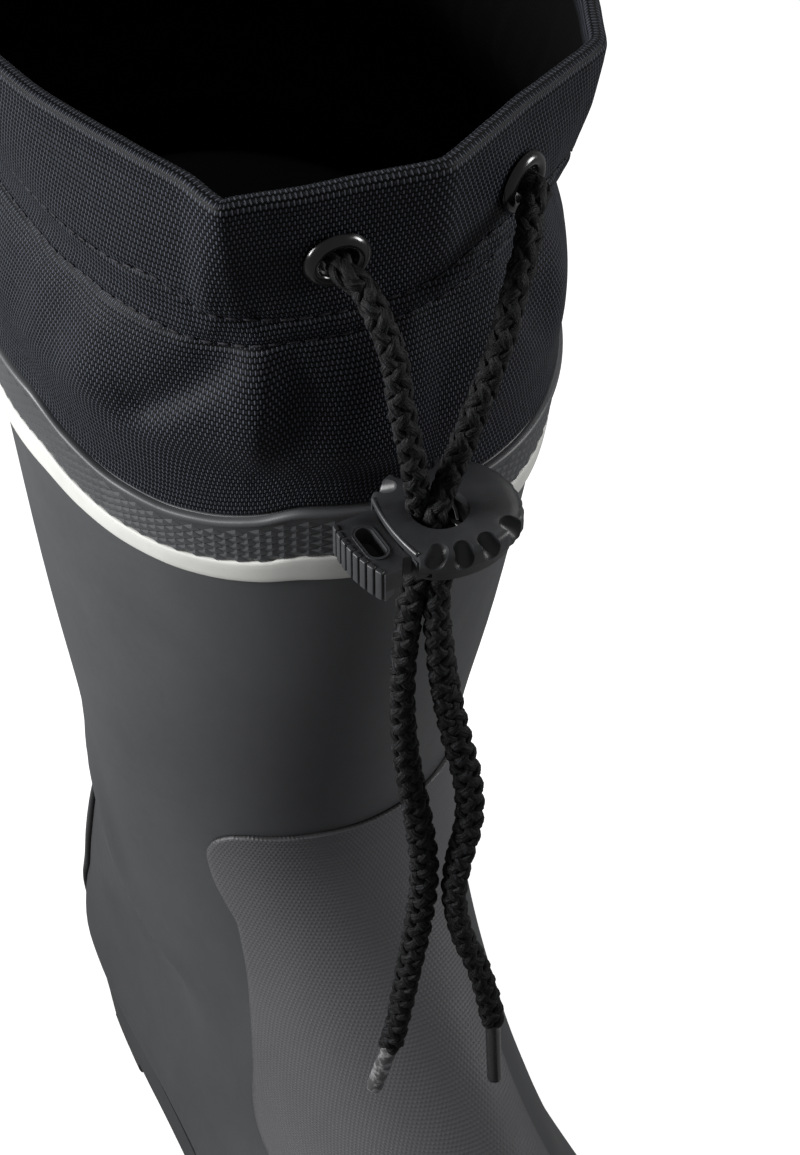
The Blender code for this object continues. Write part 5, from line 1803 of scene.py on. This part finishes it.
class BOOT_OT_cuff(bpy.types.Operator):
    """Sew the gathered nylon cuff with its tunnel, stitches and eyelets"""

    bl_idname = "deck_boot.cuff"
    bl_label = "Cuff"

    def execute(self, context):
        sizes = context.scene.boot_sizes
        rows, faces, uv, outer, outside = build_cuff(skin_tree())
        item = mesh_object("woven_cuff", rows.reshape(-1, 3), faces, uv)
        # outer_face tells the cloth where its lining is painted into shade
        mark_points(item.data, "outer_face", outer)
        hole = prism(circle(EYELET_HOLE, EYELET_HOLE_SIDES), -EYELET_CUT, EYELET_CUT)
        carve(item, [(self.placed("hole_" + word, hole, side), "DIFFERENCE")
                     for side, word in SIDES.items()])
        cloth = nylon("woven_nylon", tuple(context.scene.boot_colours.nylon), sizes.weave_pitch,
                      sizes.weave_step)
        finish_piece(item, cloth, nodes=["cuff"])
        lacquer = glossy("eyelet_lacquer", (0.010, 0.010, 0.011), roughness=0.20, metallic=0.3)
        for side, word in SIDES.items():
            ring = self.placed("eyelet_ring_" + word, lathe(EYELET_PROFILE, EYELET_SIDES, True), side)
            finish_piece(ring, lacquer, nodes=["eyelet_" + word], sharp=50)
        thread = braid_yarn("stitch_thread", (0.010, 0.010, 0.012))
        tree = stitch_tree()
        for name, row in (("stitches_upper", UPPER_STITCH), ("stitches_lower", LOWER_STITCH)):
            line = self.seam_line(outside, row)
            mesh = bpy.data.meshes.new(name)
            edges = [(i, (i + 1) % len(line)) for i in range(len(line))]
            mesh.from_pydata(metres(line).tolist(), edges, [])
            seam = grown(name, tree, mesh, thread, Pitch=sizes.stitch_pitch,
                         Length=sizes.stitch_length, Thread=STITCH_THREAD * MM)
            finish_piece(seam, thread)
        return {"FINISHED"}

    def placed(self, name, shape, side):
        """Object that stands out of the cuff at an eyelet."""
        points, faces = shape
        matrix = np.array(eyelet_frame(side))
        return turn_outward(mesh_object(name, points @ matrix[:3, :3].T + matrix[:3, 3], faces))

    def seam_line(self, outside, row):
        """Line round the cuff's outside at a row of stitches."""
        line = []
        for column in range(outside.shape[1]):
            points = outside[:, column]
            angle = float(round_angle(points[len(points) // 2]))
            goal = float(stitch_height(np.array(angle), row))
            spot = [np.interp(goal, points[:, 2], points[:, axis]) for axis in (0, 1)]
            out = 1 + STITCH_SEAT / math.hypot(*spot)
            line.append((spot[0] * out, spot[1] * out, goal))
        return np.array(line)


class BOOT_OT_sole(bpy.types.Operator):
    """Finish the moulded sole and the footbed inside"""

    bl_idname = "deck_boot.sole"
    bl_label = "Sole and footbed"

    def execute(self, context):
        colour = tuple(context.scene.boot_colours.sole)
        sole = smooth_copy("outsole", "sole_unit", levels=2, sharp=24)
        recipe = rubber("sole_rubber", colour, roughness=0.60, mottle=0.16)
        recipe.raise_by(recipe.noise(900.0, 3.0), 0.12, 0.5)
        finish_piece(sole, recipe.material, nodes=["outsole"], sharp=30)
        footbed = smooth_copy("insole", "footbed", levels=2, sharp=50)
        finish_piece(footbed, footbed_cloth("footbed_lining"), nodes=["insole"], sharp=50)
        return {"FINISHED"}


class BOOT_PT_deck_boot(bpy.types.Panel):
    """List of the boot's sizes, colours and pieces"""

    bl_idname = "BOOT_PT_deck_boot"
    bl_label = "Deck boot"
    bl_space_type = "VIEW_3D"
    bl_region_type = "UI"
    bl_category = "Deck boot"

    def draw(self, context):
        for group in (context.scene.boot_sizes, context.scene.boot_colours):
            for name in group.bl_rna.properties.keys():
                if name not in ("rna_type", "name"):
                    self.layout.prop(group, name)
        for step in STEPS:
            self.layout.operator(step.bl_idname)


STEPS = (
    BOOT_OT_stage,
    BOOT_OT_drawcords,
    BOOT_OT_cord_lock,
    BOOT_OT_shaft,
    BOOT_OT_overlays,
    BOOT_OT_bands,
    BOOT_OT_cuff,
    BOOT_OT_sole,
)
CLASSES = (BootSizes, BootColours, *STEPS, BOOT_PT_deck_boot)


def register():
    for item in CLASSES:
        bpy.utils.register_class(item)
    bpy.types.Scene.boot_sizes = bpy.props.PointerProperty(type=BootSizes)
    bpy.types.Scene.boot_colours = bpy.props.PointerProperty(type=BootColours)


def unregister():
    del bpy.types.Scene.boot_colours
    del bpy.types.Scene.boot_sizes
    for item in reversed(CLASSES):
        bpy.utils.unregister_class(item)


def main():
    register()
    bpy.ops.deck_boot.stage()
    bpy.ops.deck_boot.drawcords()
    bpy.ops.deck_boot.cord_lock()
    bpy.ops.deck_boot.shaft()
    bpy.ops.deck_boot.overlays()
    bpy.ops.deck_boot.bands()
    bpy.ops.deck_boot.cuff()
    bpy.ops.deck_boot.sole()


if __name__ == "__main__":
    main()
